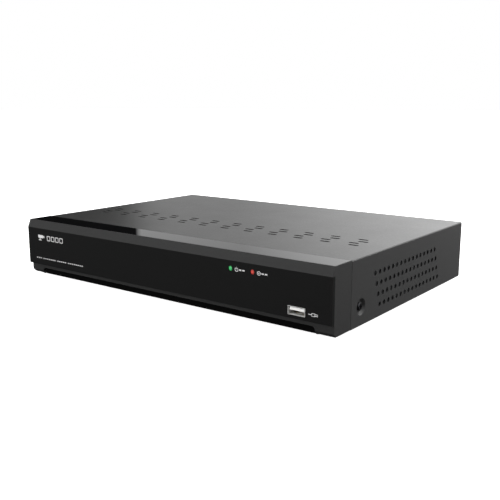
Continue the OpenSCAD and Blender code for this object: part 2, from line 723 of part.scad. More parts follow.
// Board sockets for the leads: [x, y, width, depth]
headers = [[header_x, data_header_y, 16, 6], [header_x, power_header_y, 12, 7],
    [fan_header.x, fan_header.y, 8, 6], [front_header.x, front_header.y, 14, 6],
    [switch_header.x, switch_header.y, 8, 6]];
module board_headers() color("#e9e6da") for (h = headers)
    translate([h[0] - h[2] / 2, h[1] - h[3] / 2, board_top]) cube([h[2], h[3], header_h]);

// ---- Rear sockets ----

module port_cavity(p) translate([p[0], shell_y, p[1]]) {
    slab([-plug_hole_w / 2, -plug_hole_depth, -plug_hole_h / 2],
        [plug_hole_w / 2, eps, plug_hole_h / 2]);
    mirror([0, 0, p[2] < 0 ? 1 : 0]) slab([-latch_w / 2, -plug_hole_depth, 0],
        [latch_w / 2, eps, plug_hole_h / 2 + latch_h]);
}

module port_shields() color("#c3c6ca") difference() {
    union() {
        slab([lan_x - port_w / 2, shell_y - port_depth, board_top],
            [lan_x + port_w / 2, shell_y, board_top + port_h]);
        slab([camera_ports_x - port_w, shell_y - port_depth, board_top],
            [camera_ports_x + port_w, shell_y, board_top + 2 * port_h]);
    }
    slab([lan_x - port_w / 2 + port_skin, shell_y - port_depth + port_skin, board_top - eps],
        [lan_x + port_w / 2 - port_skin, shell_y - port_skin, board_top + port_h - port_skin]);
    slab([camera_ports_x - port_w + port_skin, shell_y - port_depth + port_skin, board_top - eps],
        [camera_ports_x + port_w - port_skin, shell_y - port_skin,
            board_top + 2 * port_h - port_skin]);
    for (p = ports) port_cavity(p);
}

module port_inserts() color("#1b1b1d") difference() {
    union() {
        slab([lan_x - port_w / 2 + port_skin, shell_y - port_depth + port_skin, board_top],
            [lan_x + port_w / 2 - port_skin, shell_y - port_skin, board_top + port_h - port_skin]);
        slab([camera_ports_x - port_w + port_skin, shell_y - port_depth + port_skin, board_top],
            [camera_ports_x + port_w - port_skin, shell_y - port_skin,
                board_top + 2 * port_h - port_skin]);
    }
    for (p = ports) port_cavity(p);
}

// Eight sprung contacts in each socket, on the side away from the latch
module port_contacts() color("#d9b24a") for (p = ports, k = [0:7])
    translate([p[0] + (k - 3.5) * 1.02, shell_y - plug_hole_depth, p[1]])
        mirror([0, 0, p[2] > 0 ? 1 : 0]) across(0.4)
            polygon([[0, plug_hole_h / 2], [0, plug_hole_h / 2 - 1.9], [0.5, plug_hole_h / 2 - 1.9],
                [7, plug_hole_h / 2 - 0.4], [7, plug_hole_h / 2]]);

video_profile = [[-6.4, 0], [6.4, 0], [7.5, 1.6], [7.5, 6], [-7.5, 6], [-7.5, 1.6]];
module video_out_shell() color("#c9ccd0") difference() {
    translate([video_x, 0, board_top + 0.4]) along(shell_y - 12, shell_y) polygon(video_profile);
    translate([video_x, 0, board_top + 0.4]) along(shell_y - 11, shell_y + eps)
        polygon([[-6.2, 0.4], [6.2, 0.4], [7.1, 1.7], [7.1, 5.6], [-7.1, 5.6], [-7.1, 1.7]]);
    translate([video_x, 0, board_top]) slab([-8, shell_y - 13, -1], [8, shell_y + eps, 0.3]);
}

module video_out_tongue() color("#1b1b1d") translate([video_x, shell_y, board_top + 0.4]) {
    slab([-6, -11, 2.6], [6, -0.8, 4.2]);
    slab([-6.1, -11, 0.5], [6.1, -8.5, 5.5]);
}

// D-shaped outline of the monitor socket
function dee(w, h, lean) = [[-w / 2, h / 2], [lean - w / 2, -h / 2], [w / 2 - lean, -h / 2],
    [w / 2, h / 2]];

module monitor_port_shell() color("#c9ccd0") translate([monitor_x, 0, monitor_z]) difference() {
    union() {
        along(rear_inner_y - 0.8, rear_inner_y) polygon(rounded(30.8, 12.4, 1.2));
        along(rear_inner_y - 0.8, panel_y + 5.6) polygon(dee(16.9, 8.3, 1.4));
        slab([-15.4, rear_inner_y - 10, board_top - monitor_z],
            [15.4, rear_inner_y - 0.8, board_top - monitor_z + 11]);
    }
    along(rear_inner_y - 9, panel_y + 6) polygon(dee(16.1, 7.5, 1.4));
    for (side = [-1, 1]) translate([side * monitor_nut_pitch / 2, 0, 0])
        along(rear_inner_y - 8, rear_inner_y + eps) circle(r = 1.7);
}

module monitor_port_insert() color("#2c5fb3") translate([monitor_x, 0, monitor_z]) difference() {
    along(rear_inner_y - 9, panel_y + 5) polygon(dee(15.9, 7.3, 1.4));
    for (row = [-1, 0, 1], k = [-2:2]) translate([k * 2.29 + row * 0.57, 0, row * 1.98])
        along(panel_y, panel_y + 6) circle(r = 0.5, $fn = 16);
}

// Hexagonal nut posts either side of the monitor socket, tapped for a cable's screws
module monitor_port_nuts() color("#c9ccd0") for (side = [-1, 1])
    facing_rear([monitor_x + side * monitor_nut_pitch / 2, panel_y, monitor_z]) difference() {
        union() {
            cylinder(d = 5.5, h = 5.2, $fn = 6);
            translate([0, 0, -7]) cylinder(r = 1.5, h = 7.2);
        }
        cylinder(d = monitor_nut_bore, h = 6);
    }

audio_sleeve_r = 4.15;
audio_collar_r = audio_sleeve_r + 0.25;
audio_collar_y = panel_y + 0.3;
module audio_block() color("#1b1b1d") difference() {
    slab([audio_x - 5, rear_inner_y - 12, board_top], [audio_x + 5, rear_inner_y, board_top + 28]);
    for (z = audio_zs) facing_rear([audio_x, rear_inner_y - 9, z])
        cylinder(r = audio_collar_r, h = 12);
}

// Audio socket sleeves, each with its insulator and centre hole
module audio_sleeves() color("#d0b25e") for (z = audio_zs)
    facing_rear([audio_x, rear_inner_y - 9, z]) difference() {
        union() {
            cylinder(r = audio_sleeve_r, h = rear_y + rear_reach - rear_inner_y + 9);
            cylinder(r = audio_collar_r, h = audio_collar_y - rear_inner_y + 9);
        }
        translate([0, 0, rear_y + rear_reach - rear_inner_y + 9 - 3]) rotate_extrude()
            translate([2.8, 0]) square([0.7, 4]);
        translate([0, 0, 6]) cylinder(r = 1.6, h = 30);
    }

inlet_bore_r = 3.2;
module power_inlet() color("#1b1b1d") difference() {
    union() {
        slab([inlet_x - 4.5, rear_inner_y - 13, board_top],
            [inlet_x + 4.5, rear_inner_y, inlet_z + 4.5]);
        facing_rear([inlet_x, rear_inner_y, inlet_z]) cylinder(r = 4, h = sheet_t + 0.6);
    }
    facing_rear([inlet_x, panel_y + 0.6 - 10, inlet_z]) cylinder(r = inlet_bore_r, h = 12);
}

module inlet_pin() color("#c9ccd0") facing_rear([inlet_x, panel_y + 0.6 - 10, inlet_z])
    cylinder(r = 1, h = 9);

// ---- Power switch ----

module switch_housing() color("#141416") difference() {
    union() {
        translate([switch_x, 0, switch_z]) {
            along(panel_y, panel_y + switch_flange_t) polygon(rounded(switch_w, switch_h, 1.2));
            along(panel_y - 14, panel_y + 0.1) polygon(rounded(switch_w - 2, switch_h - 2.2, 0.4));
        }
        for (side = [-1, 1]) slab([switch_x + side * 5 - 0.4, panel_y - 20, switch_z - 2.4],
            [switch_x + side * 5 + 0.4, panel_y - 13.9, switch_z + 2.4]);
    }
    slab([switch_x - well_half_w, panel_y - 6.5, switch_z - well_half_h],
        [switch_x + well_half_w, panel_y + 5, switch_z + well_half_h]);
    translate([switch_x, rocker_pivot_y, switch_z]) cylinder(r = rocker_pin_r + run_gap,
        h = 2 * (well_half_h + 1), center = true);
}

// Rocker at rest, tilted to the on side
module switch_rocker() color("#1f1f22") translate([switch_x, rocker_pivot_y, switch_z])
    rotate([0, 0, -switch_tilt / 2]) {
        translate([0, 0, -rocker_half_h]) linear_extrude(2 * rocker_half_h)
            polygon([[-rocker_half_w, 3.4], [0, 1.9], [rocker_half_w, 3.4],
                [rocker_half_w - 0.6, -2.4], [3, -4.6], [-3, -4.6], [0.6 - rocker_half_w, -2.4]]);
        cylinder(r = rocker_pin_r, h = 2 * (well_half_h + 0.8), center = true);
    }

// ---- Hard disk ----

module bay_outline(grow) {
    translate([spindle_at.x, spindle_at.y]) circle(r = platter_d / 2 + 1.4 + grow, $fn = 96);
    translate([drive_x0 + 20 - grow, spindle_at.y + 30])
        square([drive_w - 20 - drive_wall + 2 * grow, 42 + grow]);
}

module disk_base() color("#9a9da1") difference() {
    union() {
        slab([drive_x0, drive_y0, drive_z0 + 3],
            [drive_x0 + drive_w, drive_y1, drive_z0 + drive_body_h]);
        // Side rails down to the drive's underside
        for (x = [drive_x0, drive_x0 + drive_w - 8])
            slab([x, drive_y0, drive_z0], [x + 8, drive_y1 - 14, drive_z0 + 3.1]);
        slab([drive_x0, drive_y0, drive_z0], [drive_x0 + drive_w, drive_y0 + 40, drive_z0 + 3.1]);
    }
    translate([0, 0, drive_z0 + bay_z]) linear_extrude(drive_h) bay_outline(0);
    for (p = mount_holes) translate([p.x, p.y, drive_z0 - eps])
        cylinder(r = 1.5, h = 6);
    for (p = disk_screw_at) translate([p.x, p.y, drive_z0 + drive_body_h - 6])
        cylinder(r = 1, h = 7);
    slab([drive_x0 + 6, drive_y1 - 8, drive_z0 + 2.6],
        [drive_x0 + 54, drive_y1 + eps, drive_z0 + 9.4]);
}

disk_screw_at = [for (x = [4, drive_w - 4], y = [4, drive_l - 5]) [drive_x0 + x, drive_y0 + y]];

module disk_cover() color("#c0c3c6") difference() {
    union() {
        translate([drive_x0 + drive_w / 2, drive_y0 + drive_l / 2, drive_z0 + drive_body_h])
            linear_extrude(drive_cover_t - 0.5) polygon(rounded(drive_w - 0.6, drive_l - 0.6, 3));
        translate([0, 0, drive_z0 + drive_body_h]) linear_extrude(drive_cover_t) bay_outline(-4);
    }
    for (p = disk_screw_at) translate([p.x, p.y, drive_z0 + drive_body_h - eps])
        cylinder(r = 1.2, h = 3);
}

module disk_cover_screws() color("#8c8f93") for (p = disk_screw_at)
    translate([p.x, p.y, drive_z0 + drive_h - 0.5]) screw(5, head_d = 4.4, head_h = 0.9, d = 2);

disk_board_y0 = drive_y0 + 42;
module disk_board() color("#1c5a38") {
    slab([drive_x0 + 9, disk_board_y0, drive_z0 + 1.8],
        [drive_x0 + drive_w - 9, drive_y1 - 9, drive_z0 + 3]);
    for (c = [[40, 30, 14, 14], [66, 22, 9, 9], [60, 50, 12, 6]])
        slab([drive_x0 + c[0], disk_board_y0 + c[1], drive_z0 + 0.8],
            [drive_x0 + c[0] + c[2], disk_board_y0 + c[1] + c[3], drive_z0 + 1.8]);
}

module disk_connector() color("#161618") difference() {
    slab([drive_x0 + 6.3, drive_y1 - 7.8, drive_z0 + 3], [drive_x0 + 53.7, drive_y1, drive_z0 + 9]);
    for (x = [[data_plug_x, 6.2], [drive_power_x, 12]])
        slab([x[0] - x[1], drive_y1 - 5.5, drive_z0 + 4], [x[0] + x[1], drive_y1 + eps, drive_z0 + 8]);
}

// Fixed posts that the platters and the head arm turn on
module disk_shafts() color("#b5b8bc") {
    translate([spindle_at.x, spindle_at.y, drive_z0 + bay_z])
        cylinder(r = spindle_shaft_r, h = drive_body_h - bay_z - 0.3);
    translate([pivot_at.x, pivot_at.y, drive_z0 + bay_z])
        cylinder(r = pivot_shaft_r, h = drive_body_h - bay_z - 0.3);
}

module spindle_hub() color("#a9acb0") translate([spindle_at.x, spindle_at.y, platter_z])
    difference() {
        union() {
            translate([0, 0, -3.2]) cylinder(r = 16, h = 3.2);
            cylinder(r = hub_r, h = platter_pitch + platter_t);
            translate([0, 0, platter_pitch + platter_t]) cylinder(r = 15, h = 1.6);
            translate([0, 0, platter_t]) cylinder(r = 15, h = platter_pitch - platter_t);
        }
        translate([0, 0, -4]) cylinder(r = spindle_shaft_r + run_gap, h = 20);
    }

module platters() color("#d5d7da") for (k = [0, 1])
    translate([spindle_at.x, spindle_at.y, platter_z + k * platter_pitch]) difference() {
        cylinder(r = platter_d / 2, h = platter_t, $fn = 96);
        translate([0, 0, -eps]) cylinder(r = hub_r, h = platter_t + 2 * eps);
    }

// Head arm at rest on its park position: three arms, the pivot barrel and the coil
module head_arm() color("#b9a26a") translate([pivot_at.x, pivot_at.y, 0])
    rotate([0, 0, park_angle]) difference() {
        union() {
            translate([0, 0, drive_z0 + bay_z + 0.6])
                cylinder(r = pivot_barrel_r, h = drive_body_h - bay_z - 1.6);
            for (z = arm_zs) translate([0, 0, z]) linear_extrude(arm_t)
                polygon([[0, -6], [arm_reach * 0.55, -3.4], [arm_reach, -1.4], [arm_reach, 1.4],
                    [arm_reach * 0.55, 3.4], [0, 6]]);
            translate([0, 0, arm_zs[1] - 0.6]) linear_extrude(arm_t + 1.2)
                polygon([[0, -6], [-coil_reach, -9], [-coil_reach, 9], [0, 6]]);
        }
        translate([0, 0, drive_z0]) cylinder(r = pivot_shaft_r + run_gap, h = drive_h);
        translate([0, 0, arm_zs[1] - 2]) linear_extrude(5)
            polygon([[-9, -4], [3 - coil_reach, -5.5], [3 - coil_reach, 5.5], [-9, 4]]);
    }

// Magnet plates below and above the coil's travel
module coil_magnets() color("#8f9296") for (z = [[drive_z0 + bay_z, arm_zs[1] - 1.6],
    [arm_zs[1] + arm_t + 1.6, drive_z0 + drive_body_h - 0.3]])
    translate([pivot_at.x, pivot_at.y, z[0]]) linear_extrude(z[1] - z[0]) polygon(
        concat(arc([0, 0], 17, -25, 60, 8), arc([0, 0], 8.5, 60, -25, 6)));

module disk_mount_screws() color("#b9bcc0") for (p = mount_holes)
    translate([p.x, p.y, floor_z]) rotate([180, 0, 0]) screw(7, head_d = 6.5, head_h = 1.4);

// ---- Fan ----

module fan_frame() color("#161617") difference() {
    union() {
        difference() {
            slab([fan_x - fan_w / 2, fan_y0, fan_z - fan_w / 2],
                [fan_x + fan_w / 2, rear_inner_y, fan_z + fan_w / 2]);
            facing_rear([fan_x, fan_y0 - eps, fan_z]) cylinder(r = fan_bore_r, h = fan_d + 2 * eps,
                $fn = 96);
        }
        facing_rear([fan_x, rear_inner_y - fan_base_t, fan_z]) {
            cylinder(r = fan_hub_d / 2, h = fan_base_t);
            for (a = [0:90:270]) rotate([0, 0, a + 20]) translate([0, -1, 0])
                cube([fan_bore_r + 0.4, 2, fan_base_t]);
        }
        facing_rear([fan_x, fan_y0 + 2.6, fan_z])
            cylinder(r = fan_shaft_r, h = fan_d - fan_base_t - 2.6 + 0.1);
    }
    for (a = [0:90:270]) facing_rear([fan_x, fan_y0 - eps, fan_z]) rotate([0, 0, a])
        translate([fan_screw_pitch / 2, fan_screw_pitch / 2, 0])
            cylinder(r = screw_d / 2 + 0.15, h = fan_d + 2 * eps);
}

// Rotor: a cup-shaped hub with slanted blades, turning on the frame's post
module fan_rotor() color("#1d1d1f") facing_rear([fan_x, fan_y0 + 0.4, fan_z]) difference() {
    rotor_h = fan_d - fan_base_t - 0.8;
    union() {
        cylinder(r = fan_hub_d / 2, h = rotor_h);
        intersection() {
            for (k = [0:fan_blades - 1]) rotate([0, 0, k * 360 / fan_blades])
                translate([0, 0, rotor_h / 2]) rotate([38, 0, 0])
                    translate([fan_hub_d / 2 - 1, -0.5, -8]) cube([fan_w / 2, 1, 16]);
            cylinder(r = fan_bore_r - fan_tip_gap, h = rotor_h, $fn = 96);
        }
    }
    translate([0, 0, 1.6]) cylinder(r = fan_shaft_r + run_gap, h = rotor_h);
    translate([0, 0, rotor_h - 1]) cylinder(r = fan_hub_d / 2 - 1.2, h = 2);
}

module fan_screws() color("#2b2b2c") for (a = [0:90:270])
    facing_rear([fan_x, panel_y, fan_z]) rotate([0, 0, a])
        translate([fan_screw_pitch / 2, fan_screw_pitch / 2, 0]) screw(8);

// ---- Internal leads ----

function unit(v) = v / norm(v);
function curve_point(a, b, c, d, t) = 0.5 * (2 * b + (c - a) * t
    + (2 * a - 5 * b + 4 * c - d) * t * t + (3 * b - a - 3 * c + d) * t * t * t);
function smooth_route(p, steps) = let (n = len(p) - 1) concat(
    [for (i = [0:n - 1], k = [0:steps - 1])
        curve_point(p[max(i - 1, 0)], p[i], p[i + 1], p[min(i + 2, n)], k / steps)], [p[n]]);
// Directions along a route, square to the plugs at its two ends
function directions(p, ends) = let (n = len(p) - 1, e = len(ends) - 1)
    [for (i = [0:n]) i == 0 ? unit(ends[1] - ends[0]) : i == n ? unit(ends[e] - ends[e - 1])
        : unit(p[i + 1] - p[i - 1])];
// Carries one side direction along the route without twisting it
function carried(t, side, i = 0) = i == len(t) ? []
    : let (s = unit(side - (side * t[i]) * t[i])) concat([s], carried(t, s, i + 1));
function round_section(d, n = 8) = [for (k = [0:n - 1]) d / 2 * [cos(k * 360 / n), sin(k * 360 / n)]];

// Sweeps a section along a smooth route; side points along the section's first direction
module lead(points, section, side, steps = 4) {
    route = smooth_route(points, steps);
    t = directions(route, points);
    s = carried(t, side);
    n = len(section);
    rings = [for (i = [0:len(route) - 1], q = section) route[i] + q.x * s[i] + q.y * cross(t[i], s[i])];
    last = (len(route) - 1) * n;
    polyhedron(rings, concat([[for (k = [n - 1:-1:0]) k]], [[for (k = [0:n - 1]) last + k]],
        [for (i = [0:len(route) - 2], k = [0:n - 1], half = [0, 1]) let (a = i * n + k,
            b = i * n + (k + 1) % n) half == 0 ? [a, b, b + n] : [a, b + n, a + n]]));
}

lead_top = drive_z0 + drive_h + 3;
plug_y = plug_y0 + 6;
function between(from, to, share) = from + share * (to - from);
module data_lead() color("#b02b2b") lead([[data_plug_x, plug_y, plug_top],
    [data_plug_x, plug_y, plug_top + 6],
    [data_plug_x - 2, between(plug_y, data_header_y, 0.03), lead_top - 3],
    [data_plug_x - 10, between(plug_y, data_header_y, 0.11), lead_top + 2],
    [header_x + 12, between(plug_y, data_header_y, 0.4), lead_top + 3],
    [header_x + 2, between(plug_y, data_header_y, 0.89), lead_top - 1], [header_x, data_header_y, header_plug_top + 6],
    [header_x, data_header_y, header_plug_top]],
    [[-0.7, -4], [0.7, -4], [0.7, 4], [-0.7, 4]], [0, 1, 0]);

module power_lead() color("#2a2a2c") lead([[drive_power_x, plug_y, plug_top],
    [drive_power_x, plug_y, plug_top + 6],
    [drive_power_x - 3, between(plug_y, power_header_y, 0.035), lead_top - 1],
    [drive_power_x - 16, between(plug_y, power_header_y, 0.24), lead_top + 4],
    [header_x + 16, between(plug_y, power_header_y, 0.72), lead_top + 4],
    [header_x + 4, between(plug_y, power_header_y, 0.93), lead_top], [header_x, power_header_y, header_plug_top + 6],
    [header_x, power_header_y, header_plug_top]],
    round_section(4), [1, 0, 0]);

fan_exit = [fan_x - fan_w / 2, fan_y0 + 4, fan_z - 2];
module fan_lead() color("#222224") lead([fan_exit, fan_exit + [-5, 0, 0],
    [fan_exit.x - 12, fan_exit.y - 2, fan_exit.z], [drive_x0, fan_header.y + 29.4, fan_exit.z + 4],
    [fan_header.x + 5, fan_header.y + 6, header_plug_top + 8],
    [fan_header.x, fan_header.y, header_plug_top + 6], [fan_header.x, fan_header.y, header_plug_top]],
    round_section(2.4), [0, 1, 0]);

front_plug_at = [front_board_x0 + 13, front_y + front_board_y + board_t, floor_z + 25];
front_plug_l = 5;
module front_lead() color("#cfd1d4") lead([front_plug_at + [0, front_plug_l, 0],
    front_plug_at + [0, front_plug_l + 2, 0], [front_plug_at.x - 3, wall_y + 2.4, front_plug_at.z],
    [front_plug_at.x - 9, wall_y + 3, front_plug_at.z + 0.5],
    [drive_x0 + 4, wall_y + 3, front_plug_at.z + 1], [drive_x0 - 8, wall_y + 8, front_plug_at.z + 1],
    [drive_x0 - 16, wall_y + 19, front_plug_at.z + 1.5],
    [front_header.x, front_header.y - 14, front_plug_at.z + 4],
    [front_header.x, front_header.y, header_plug_top + 6],
    [front_header.x, front_header.y, header_plug_top]],
    round_section(3.2), [0, 0, 1]);

module switch_lead() color("#2a2a2c") lead([[switch_x - 5, panel_y - 20, switch_z],
    [switch_x - 5, panel_y - 24, switch_z], [switch_x - 8, panel_y - 30, switch_z + 4],
    [switch_header.x, switch_header.y + 4, switch_z + 5],
    [switch_header.x, switch_header.y, header_plug_top + 4],
    [switch_header.x, switch_header.y, header_plug_top]],
    round_section(2.6), [1, 0, 0]);

module lead_plugs() color("#1a1a1c") {
    for (p = [[data_plug_x, 7], [drive_power_x, 12.5]])
        slab([p[0] - p[1], plug_y0, drive_plug_z0 - 1.2], [p[0] + p[1], plug_y0 + 12, plug_top]);
    for (h = headers) translate([h[0] - h[2] / 2 - 0.6, h[1] - h[3] / 2 - 0.6, board_top + header_h])
        cube([h[2] + 1.2, h[3] + 1.2, plug_h]);
    slab(front_plug_at + [-6, 0, -3], front_plug_at + [6, front_plug_l, 3]);
}

top_cover();
chassis();
front_bezel();
front_panel();
top_trim();
power_light_pipe();
disk_light_pipe();
indicator_leds();
front_board();
usb_shells();
usb_tongues();
board_screws();
case_screws();
rubber_feet();
mainboard();
processor();
heatsink();
board_chips();
capacitors();
power_coils();
line_transformers();
coin_cell();
cell_holder();
buzzer();
board_headers();
port_shields();
port_inserts();
port_contacts();
video_out_shell();
video_out_tongue();
monitor_port_shell();
monitor_port_insert();
monitor_port_nuts();
audio_block();
audio_sleeves();
power_inlet();
inlet_pin();
switch_housing();
switch_rocker();
disk_base();
disk_cover();
disk_cover_screws();
disk_board();
disk_connector();
disk_shafts();
spindle_hub();
platters();
head_arm();
coil_magnets();
disk_mount_screws();
fan_frame();
fan_rotor();
fan_screws();
data_lead();
power_lead();
fan_lead();
front_lead();
switch_lead();
lead_plugs();
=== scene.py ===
"""Finishes, printed marks and small fittings for the video recorder, round its CAD frame."""

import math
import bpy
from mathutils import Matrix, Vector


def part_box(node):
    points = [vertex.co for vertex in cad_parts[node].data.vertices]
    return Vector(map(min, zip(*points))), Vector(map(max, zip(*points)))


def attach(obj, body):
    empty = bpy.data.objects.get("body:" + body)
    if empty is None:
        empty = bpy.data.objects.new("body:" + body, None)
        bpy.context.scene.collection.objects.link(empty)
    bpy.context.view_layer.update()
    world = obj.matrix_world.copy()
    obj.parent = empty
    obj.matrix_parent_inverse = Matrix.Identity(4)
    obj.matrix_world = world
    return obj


bl_info = {
    "name": "Video Recorder Finish",
    "version": (1, 0, 0),
    "blender": (4, 5, 0),
    "location": "3D View > Sidebar > Recorder",
    "description": "Finishes and small fittings for a four camera video recorder",
    "category": "Object",
}

import bpy
from mathutils import Vector

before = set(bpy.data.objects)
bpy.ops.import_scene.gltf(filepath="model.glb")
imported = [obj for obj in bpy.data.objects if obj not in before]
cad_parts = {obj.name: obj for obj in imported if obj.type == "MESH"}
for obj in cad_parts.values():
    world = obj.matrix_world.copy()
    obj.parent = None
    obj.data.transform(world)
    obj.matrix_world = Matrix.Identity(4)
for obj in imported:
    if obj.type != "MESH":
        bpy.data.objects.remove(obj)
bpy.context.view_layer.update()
MM = 0.001
# Where the walls that the small pieces stand on lie along y, in mm
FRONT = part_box("front_panel")[0].y / MM
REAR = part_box("chassis")[1].y / MM
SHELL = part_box("port_shields")[1].y / MM
# Turns that lay a flat sketch on a wall
FACING_FRONT = (math.pi / 2, 0, 0)
FACING_REAR = (math.pi / 2, 0, math.pi)
FACING_DOWN = (math.pi, 0, 0)
FACING_UP = (0, 0, 0)


def linear(code):
    """Linear colour with alpha from an sRGB hex value."""
    parts = [int(code[i : i + 2], 16) / 255 for i in (1, 3, 5)]
    return tuple(c / 12.92 if c < 0.04045 else ((c + 0.055) / 1.055) ** 2.4 for c in parts) + (1,)


def shade(tone, factor):
    """The tone made lighter or darker."""
    return [c * factor for c in tone]


def middle_of(node):
    """Middle of a CAD node's box, in mm."""
    low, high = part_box(node)
    return (low + high) / 2 / MM


# ---- Sizes and colours that a user would change ----


def colour(name, description, code):
    return bpy.props.FloatVectorProperty(
        name=name, description=description, default=linear(code)[:3],
        size=3, min=0, max=1, subtype="COLOR")


def length(name, description, millimetres):
    return bpy.props.FloatProperty(
        name=name, description=description, default=millimetres * MM,
        min=0, unit="LENGTH", precision=5)


class RecorderSizes(bpy.types.PropertyGroup):
    """Sizes of the marks and fittings."""

    ink_height: length("Ink height", "How far the printed marks stand on the surface", 0.04)
    label_height: length("Label thickness", "Thickness of the blank labels", 0.12)
    contact_width: length("Contact width", "Width of the strips in the data sockets", 1.0)
    window_height: length("Window height", "How far the network lights stand proud", 0.35)
    # The near-black sheet in the front recess is painted shade
    shade_sheet_thickness: length("Shade sheet thickness", "Thickness of the painted shade sheet in the front recess", 0.3)
    ring_width: length("Ring width", "Width of the coloured rings round the audio sockets", 1.35)


class RecorderColours(bpy.types.PropertyGroup):
    """Colours of the outer surfaces and the lights."""

    cover: colour("Cover", "Powder coat of the cover", "#333333")
    moulding: colour("Moulding", "Plastic of the front moulding", "#262626")
    panel: colour("Panel", "Plastic of the front panel", "#171717")
    trim: colour("Trim", "Glossy strip on top of the front", "#050506")
    ink: colour("Ink", "Printed marks on the front", "#d6d6d6")
    power_light: colour("Power light", "Light pipe of the power light", "#2c9c52")
    disk_light: colour("Disk light", "Light pipe of the disk light", "#962b25")


class RecorderStage(bpy.types.PropertyGroup):
    """Floor, light and camera."""

    lens: bpy.props.FloatProperty(
        name="Lens", description="Focal length of the camera on a 36 mm sensor",
        default=51.15, min=10, subtype="DISTANCE_CAMERA")
    distance: length("Distance", "From the camera to the point it looks at", 605.7)
    azimuth: bpy.props.FloatProperty(
        name="Azimuth", description="Turn of the camera round the recorder, 0 from the front",
        default=math.radians(37.108), subtype="ANGLE")
    elevation: bpy.props.FloatProperty(
        name="Elevation", description="Height of the camera above the horizon",
        default=math.radians(11.682), subtype="ANGLE")
    bright_side: bpy.props.FloatProperty(
        name="Bright wall", description="Brightness of the studio's light wall behind on the right",
        default=3.0, min=0)
    dark_side: bpy.props.FloatProperty(
        name="Dark wall", description="Brightness of the studio's dark wall on the left",
        default=0.008, min=0)
    front_sheet: bpy.props.FloatProperty(
        name="Front sheet", description="Brightness of the sheet high in front on the left",
        default=0.6, min=0)


# ---- Finishes ----


def add(tree, kind, values=None, links=None, **settings):
    """Adds a node with its settings, values by socket, and links as socket: (node, output)."""
    node = tree.nodes.new(kind)
    for name, value in settings.items():
        setattr(node, name, value)
    for socket, value in (values or {}).items():
        node.inputs[socket].default_value = value
    for socket, (source, output) in (links or {}).items():
        tree.links.new(source.outputs[output], node.inputs[socket])
    return node


PATTERNS = {
    # pattern: node, its settings, its output and the frequency of one repeat at scale 1
    "speckle": ("ShaderNodeTexNoise", {}, "Fac", 1.0),
    "spangle": ("ShaderNodeTexVoronoi", {}, "Color", 1.0),
    "brushed": ("ShaderNodeTexNoise", {}, "Fac", 1.0),
    "rings": ("ShaderNodeTexWave", {"wave_type": "RINGS", "rings_direction": "Z"}, "Fac", 0.314),
    "glow": ("ShaderNodeTexGradient", {"gradient_type": "SPHERICAL"}, "Fac", 1.0),
    "tracks": ("ShaderNodeTexVoronoi", {"distance": "MANHATTAN", "feature": "DISTANCE_TO_EDGE"},
               "Distance", 1.0),
}
HAND_MARK = 34  # mm across one mark that handling leaves


def finish(name, base, tint, size, rough, metallic=0.0, bump=0.0, grain=0.5, pattern="speckle",
           stretch=(1, 1, 1), centre=(0, 0, 0), smudge=0.0, edges=(0.3, 0.7), **sockets):
    """A finish whose pattern of repeat size (mm) mixes base with tint and spans the roughness.

    bump is the relief's height and grain its repeat, both in mm. centre is the middle of rings
    and of a glow, in mm, and stretch draws the pattern out along the axes it is small for.
    smudge is how much handling marks change the roughness. edges are the pattern values that
    give pure base and pure tint.
    """
    material = bpy.data.materials.get(name)
    if material:
        return material
    material = bpy.data.materials.new(name)
    material.use_nodes = True
    tree = material.node_tree
    tree.nodes.clear()
    kind, settings, output, frequency = PATTERNS[pattern]
    if pattern == "glow":
        scale, shift = [1 / (size * MM)] * 3, [-c / size for c in centre]
    else:
        scale, shift = stretch, [-c * s * MM for c, s in zip(centre, stretch)]
    place = add(tree, "ShaderNodeTexCoord")
    mapped = add(tree, "ShaderNodeMapping", {"Scale": scale, "Location": shift},
                 {"Vector": (place, "Object")})
    shape = add(tree, kind, None, {"Vector": (mapped, "Vector")}, **settings)
    for socket, value in (("Scale", frequency / (size * MM)), ("Detail", 3.0)):
        if socket in shape.inputs:
            shape.inputs[socket].default_value = value
    share = add(tree, "ShaderNodeMapRange", {"From Min": edges[0], "From Max": edges[1]},
                {"Value": (shape, output)})
    mixed = add(tree, "ShaderNodeMix", None, {0: (share, "Result")}, data_type="RGBA")
    mixed.inputs[6].default_value = (*base[:3], 1)
    mixed.inputs[7].default_value = (*tint[:3], 1)
    polish = add(tree, "ShaderNodeMapRange", {"To Min": rough[0], "To Max": rough[1]},
                 {"Value": (share, "Result")})
    shader = add(tree, "ShaderNodeBsdfPrincipled", {"Metallic": metallic, **sockets},
                 {"Base Color": (mixed, 2), "Roughness": (polish, "Result")})
    if smudge:
        marks = add(tree, "ShaderNodeTexNoise", {"Scale": 1 / (HAND_MARK * MM), "Detail": 4.0},
                    {"Vector": (place, "Object")})
        spread = add(tree, "ShaderNodeMapRange", {"To Min": -smudge, "To Max": smudge},
                     {"Value": (marks, "Fac")})
        total = add(tree, "ShaderNodeMath", None,
                    {0: (polish, "Result"), 1: (spread, "Result")}, operation="ADD")
        tree.links.new(total.outputs[0], shader.inputs["Roughness"])
    if bump:
        # Brushing lines draw the relief out as well
        source = (mapped, "Vector") if pattern == "brushed" else (place, "Object")
        relief = add(tree, "ShaderNodeTexNoise", {"Scale": 1 / (grain * MM), "Detail": 2.0},
                     {"Vector": source})
        raised = add(tree, "ShaderNodeBump", {"Strength": 1.0, "Distance": bump * MM},
                     {"Height": (relief, "Fac")})
        tree.links.new(raised.outputs["Normal"], shader.inputs["Normal"])
    add(tree, "ShaderNodeOutputMaterial", None, {"Surface": (shader, "BSDF")})
    return material


